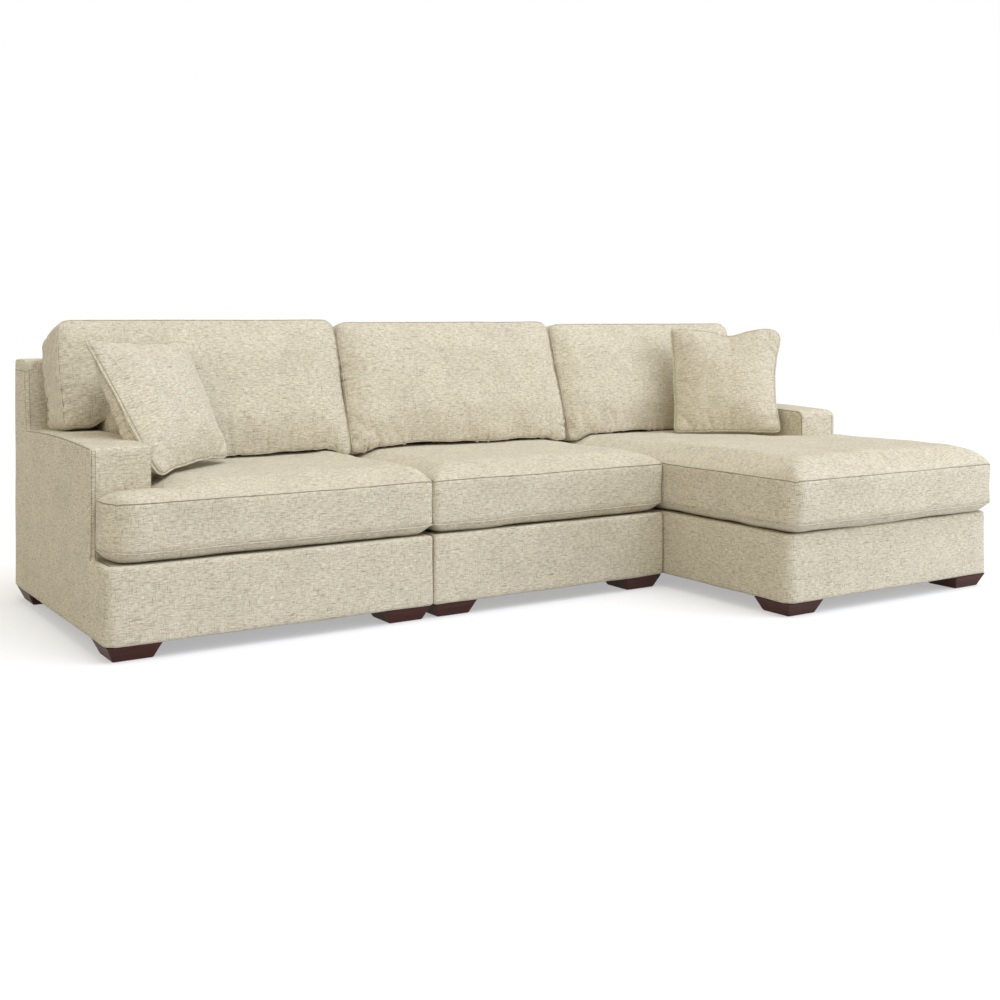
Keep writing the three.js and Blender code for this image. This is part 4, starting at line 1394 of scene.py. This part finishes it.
# As a pillow is seen, its corners and pushes run from the low left round to the high left, and
# its pulls are those of the left, right, bottom and top edge. A push leans a corner on what is
# behind it, in mm, and the notch dents the top edge.
pillowPlaces = {
    "left": {"lean": 31.0, "turn": 33.5, "body": "left_throw", "corners": (50, 48, 30, 18),
             "pulls": (0.03, 0.03, 0.085, 0.05), "notch": 0.0, "notchAt": 0.0,
             "pushes": ((4, 0, -5), (-46, 14, 17), (2, 4, 4), (-27, 12, 20)),
             "settled": (26 * mm, 24 * mm)},
    "right": {"lean": 21.0, "turn": -36.0, "body": "right_throw", "corners": (26, 26, 66, 18),
              "pulls": (0.03, 0.13, 0.02, 0.03), "notch": 26 * mm, "notchAt": 0.06,
              "pushes": ((4, 0, 8), (-28, 20, 10), (0, 0, 4), (0, 0, 4)),
             "settled": (0, 0)},
}


def drawnIn(points, half, place):
    left, right, bottom, top = place["pulls"]
    u, v = points[:, 0] / half, points[:, 1] / half
    out = points.copy()
    out[:, 0] *= 1 - np.where(u < 0, left, right) * (1 - v * v)
    out[:, 1] *= 1 - np.where(v < 0, bottom, top) * (1 - u * u)
    dent = np.exp(-((u - place["notchAt"]) / pillow["notchWidth"]) ** 2)
    dent = dent * smoothStep((v + 0.2) / 1.2) ** 2
    out[:, 1] -= place["notch"] * dent
    return out


# The filling of a pillow's rear panel sinks to its lower left
def settledFilling(points, half, place):
    u, v = points[:, 0] / half, points[:, 1] / half
    share = smoothStep(-points[:, 2] / pillow["settledDepth"]) * smoothStep((0.1 - u) / 0.7)
    share *= np.clip(1 - (v + 0.2) ** 2, 0, 1)
    aside, behind = place["settled"]
    out = points.copy()
    out[:, 0] -= share * aside
    out[:, 2] -= share * behind
    return out


def makePillow(side, seed):
    half = pillow["size"] / 2
    place = pillowPlaces[side]
    ways = ((-1, -1), (1, -1), (1, 1), (-1, 1))
    corners = [(x * half, y * half, -x, -y, size * mm)
               for (x, y), size in zip(ways, place["corners"])]
    plan = {
        **pillow, "rectangles": [(-half, half, -half, half)], "corners": corners,
        "low": -pillow["seam"] / 2, "high": pillow["seam"] / 2,
        "topCrown": pillow["puff"], "topWidth": pillow["puffWidth"],
        "underCrown": pillow["puff"], "underWidth": pillow["puffWidth"],
    }
    net = cushionNet(plan)
    net["verts"] = drawnIn(net["verts"], half, place)
    atSeam = net["depth"] < 1e-6
    weights = np.where(atSeam, 1.0, 0.0)
    limits = np.where(atSeam, 0.0, plan["cap"])
    obj = dressCushion(f"{side}ThrowPillow", net, plan, weights, limits, seed)
    turn = np.array(Matrix.Rotation(math.radians(place["turn"]), 3, "Z")
                    @ Matrix.Rotation(math.pi / 2 - math.radians(place["lean"]), 3, "X"))
    low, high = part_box(f"{side}_pillow")
    points = settledFilling(pointsOf(obj), half, place)
    stood = fitBox(points @ turn.T, low, high)
    for (x, y), push in zip(ways, place["pushes"]):
        share = (1 + x * points[:, 0] / half) * (1 + y * points[:, 1] / half) / 4
        stood += np.clip(share, 0, 1)[:, None] * np.array(push) * mm
    movePoints(obj, stood)
    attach(obj, place["body"])
    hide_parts(f"{side}_pillow")
    points, normals = pointsOf(obj), normalsOf(obj)
    front, rear = points[net["topSeam"]], points[net["lowSeam"]]
    outward = normals[net["topSeam"]] + normals[net["lowSeam"]]
    outward /= np.linalg.norm(outward, axis=1)[:, None]
    edge = (front + rear) / 2 + outward * seams["pillowRise"]
    welt = followLines(f"{side}PillowWelt", [(edge, True)], pillowTree, weave)
    boxWeaveMap(welt)
    # Paler lines of painted seam shade beside the welt, on both panels
    surface, aside, lines = surfaceOf(obj), seams["creaseAside"], []
    for line, way in ((front, 1), (rear, -1)):
        step = turn @ np.array((0, 0, way * aside)) - outward * aside
        lines.append((ontoSurface(line + step, surface, seams["threadLift"]), True))
    sewn = followLines(f"{side}PillowSeamThread", lines, paleShadeTree, paleSeamShade)
    sewTo((welt, sewn), place["body"])
    print(obj.name, len(obj.data.polygons))


makePillow("left", 500)
makePillow("right", 540)
print("cushions and pillows made")


# Camera, floor and light

view = {
    "place": (-2.5994, -3.9212, 0.9736),
    "turn": -0.574068,
    "lens": 47.88,
    "sensor": 36,
    "drop": -0.1828,
    "farClip": 200,
}


def makeCamera():
    camera = bpy.data.objects.new("camera", bpy.data.cameras.new("camera"))
    camera.data.lens = view["lens"]
    camera.data.sensor_width = view["sensor"]
    camera.data.shift_y = view["drop"]
    camera.data.clip_end = view["farClip"]
    camera.location = view["place"]
    camera.rotation_euler = (math.pi / 2, 0, view["turn"])
    bpy.context.scene.collection.objects.link(camera)
    bpy.context.scene.camera = camera


light = {
    "skyColour": (1.0, 0.92, 0.755, 1),
    "skyStrength": 0.67,
    "keyColour": (0.80, 0.86, 1.0),
    "keyStrength": 1.79,
    "keyAngle": 50,
    "keyTurn": (28.7, 0, 26),
    "fillColour": (1.0, 0.90, 0.64),
    "fillStrength": 0.38,
    "fillAngle": 60,
    "fillTurn": (80, 0, -60),
    "sidePlace": (4.5, -4.5, 1.4),
    "sideAim": (0.4, -0.3, 0.4),
    "sidePower": 112,
    "sideSize": 2.6,
    "floor": (0.60, 0.605, 0.62, 1),
    "floorGlow": 0.41,
    "floorReach": 40.0,
}


# 1 for rays from the camera and for reflected and refracted rays
def cameraOrGloss(tree):
    path = tree.nodes.new("ShaderNodeLightPath")
    seen = mathNode(tree, "MAXIMUM", path.outputs["Is Camera Ray"], path.outputs["Is Glossy Ray"])
    return mathNode(tree, "MAXIMUM", seen, path.outputs["Is Transmission Ray"])


def makeSky():
    world = bpy.data.worlds.new("studio")
    tree = emptyTree(world)
    output = tree.nodes.new("ShaderNodeOutputWorld")
    sky = addNode(tree, "ShaderNodeBackground", {
        "Color": light["skyColour"], "Strength": light["skyStrength"]})
    white = addNode(tree, "ShaderNodeBackground", {"Color": (1, 1, 1, 1), "Strength": 1.0})
    mixed = addNode(tree, "ShaderNodeMixShader", {0: cameraOrGloss(tree), 1: sky, 2: white})
    tree.links.new(mixed.outputs[0], output.inputs["Surface"])
    bpy.context.scene.world = world


def addLamp(name, kind, energy, colour):
    lamp = bpy.data.lights.new(name, kind)
    lamp.energy = energy
    lamp.color = colour
    obj = bpy.data.objects.new(name, lamp)
    bpy.context.scene.collection.objects.link(obj)
    return obj


def makeSun(part):
    sun = addLamp(f"{part}Light", "SUN", light[f"{part}Strength"], light[f"{part}Colour"])
    sun.data.angle = math.radians(light[f"{part}Angle"])
    sun.rotation_euler = tuple(math.radians(a) for a in light[f"{part}Turn"])


def makeSideLight():
    panel = addLamp("sideLight", "AREA", light["sidePower"], light["keyColour"])
    panel.data.size = light["sideSize"]
    panel.location = light["sidePlace"]
    way = Vector(light["sideAim"]) - Vector(light["sidePlace"])
    panel.rotation_euler = way.to_track_quat("-Z", "Y").to_euler()


def makeFloor():
    material = bpy.data.materials.new("studioFloor")
    tree = emptyTree(material)
    output = tree.nodes.new("ShaderNodeOutputMaterial")
    matt = addNode(tree, "ShaderNodeBsdfDiffuse", {"Color": light["floor"]})
    strength = mathNode(tree, "MULTIPLY", cameraOrGloss(tree), light["floorGlow"])
    glow = addNode(tree, "ShaderNodeEmission", {"Color": (1, 1, 1, 1), "Strength": strength})
    both = addNode(tree, "ShaderNodeAddShader", {0: matt, 1: glow})
    tree.links.new(both.outputs[0], output.inputs["Surface"])
    reach = light["floorReach"]
    corners = [(x * reach, y * reach, 0) for x, y in ((-1, -1), (1, -1), (1, 1), (-1, 1))]
    floor = shownMesh("studioFloorPlane", corners, [(0, 1, 2, 3)], material)


makeCamera()
makeSky()
makeSun("key")
makeSun("fill")
makeSideLight()
makeFloor()
bpy.context.scene.view_settings.view_transform = "Standard"
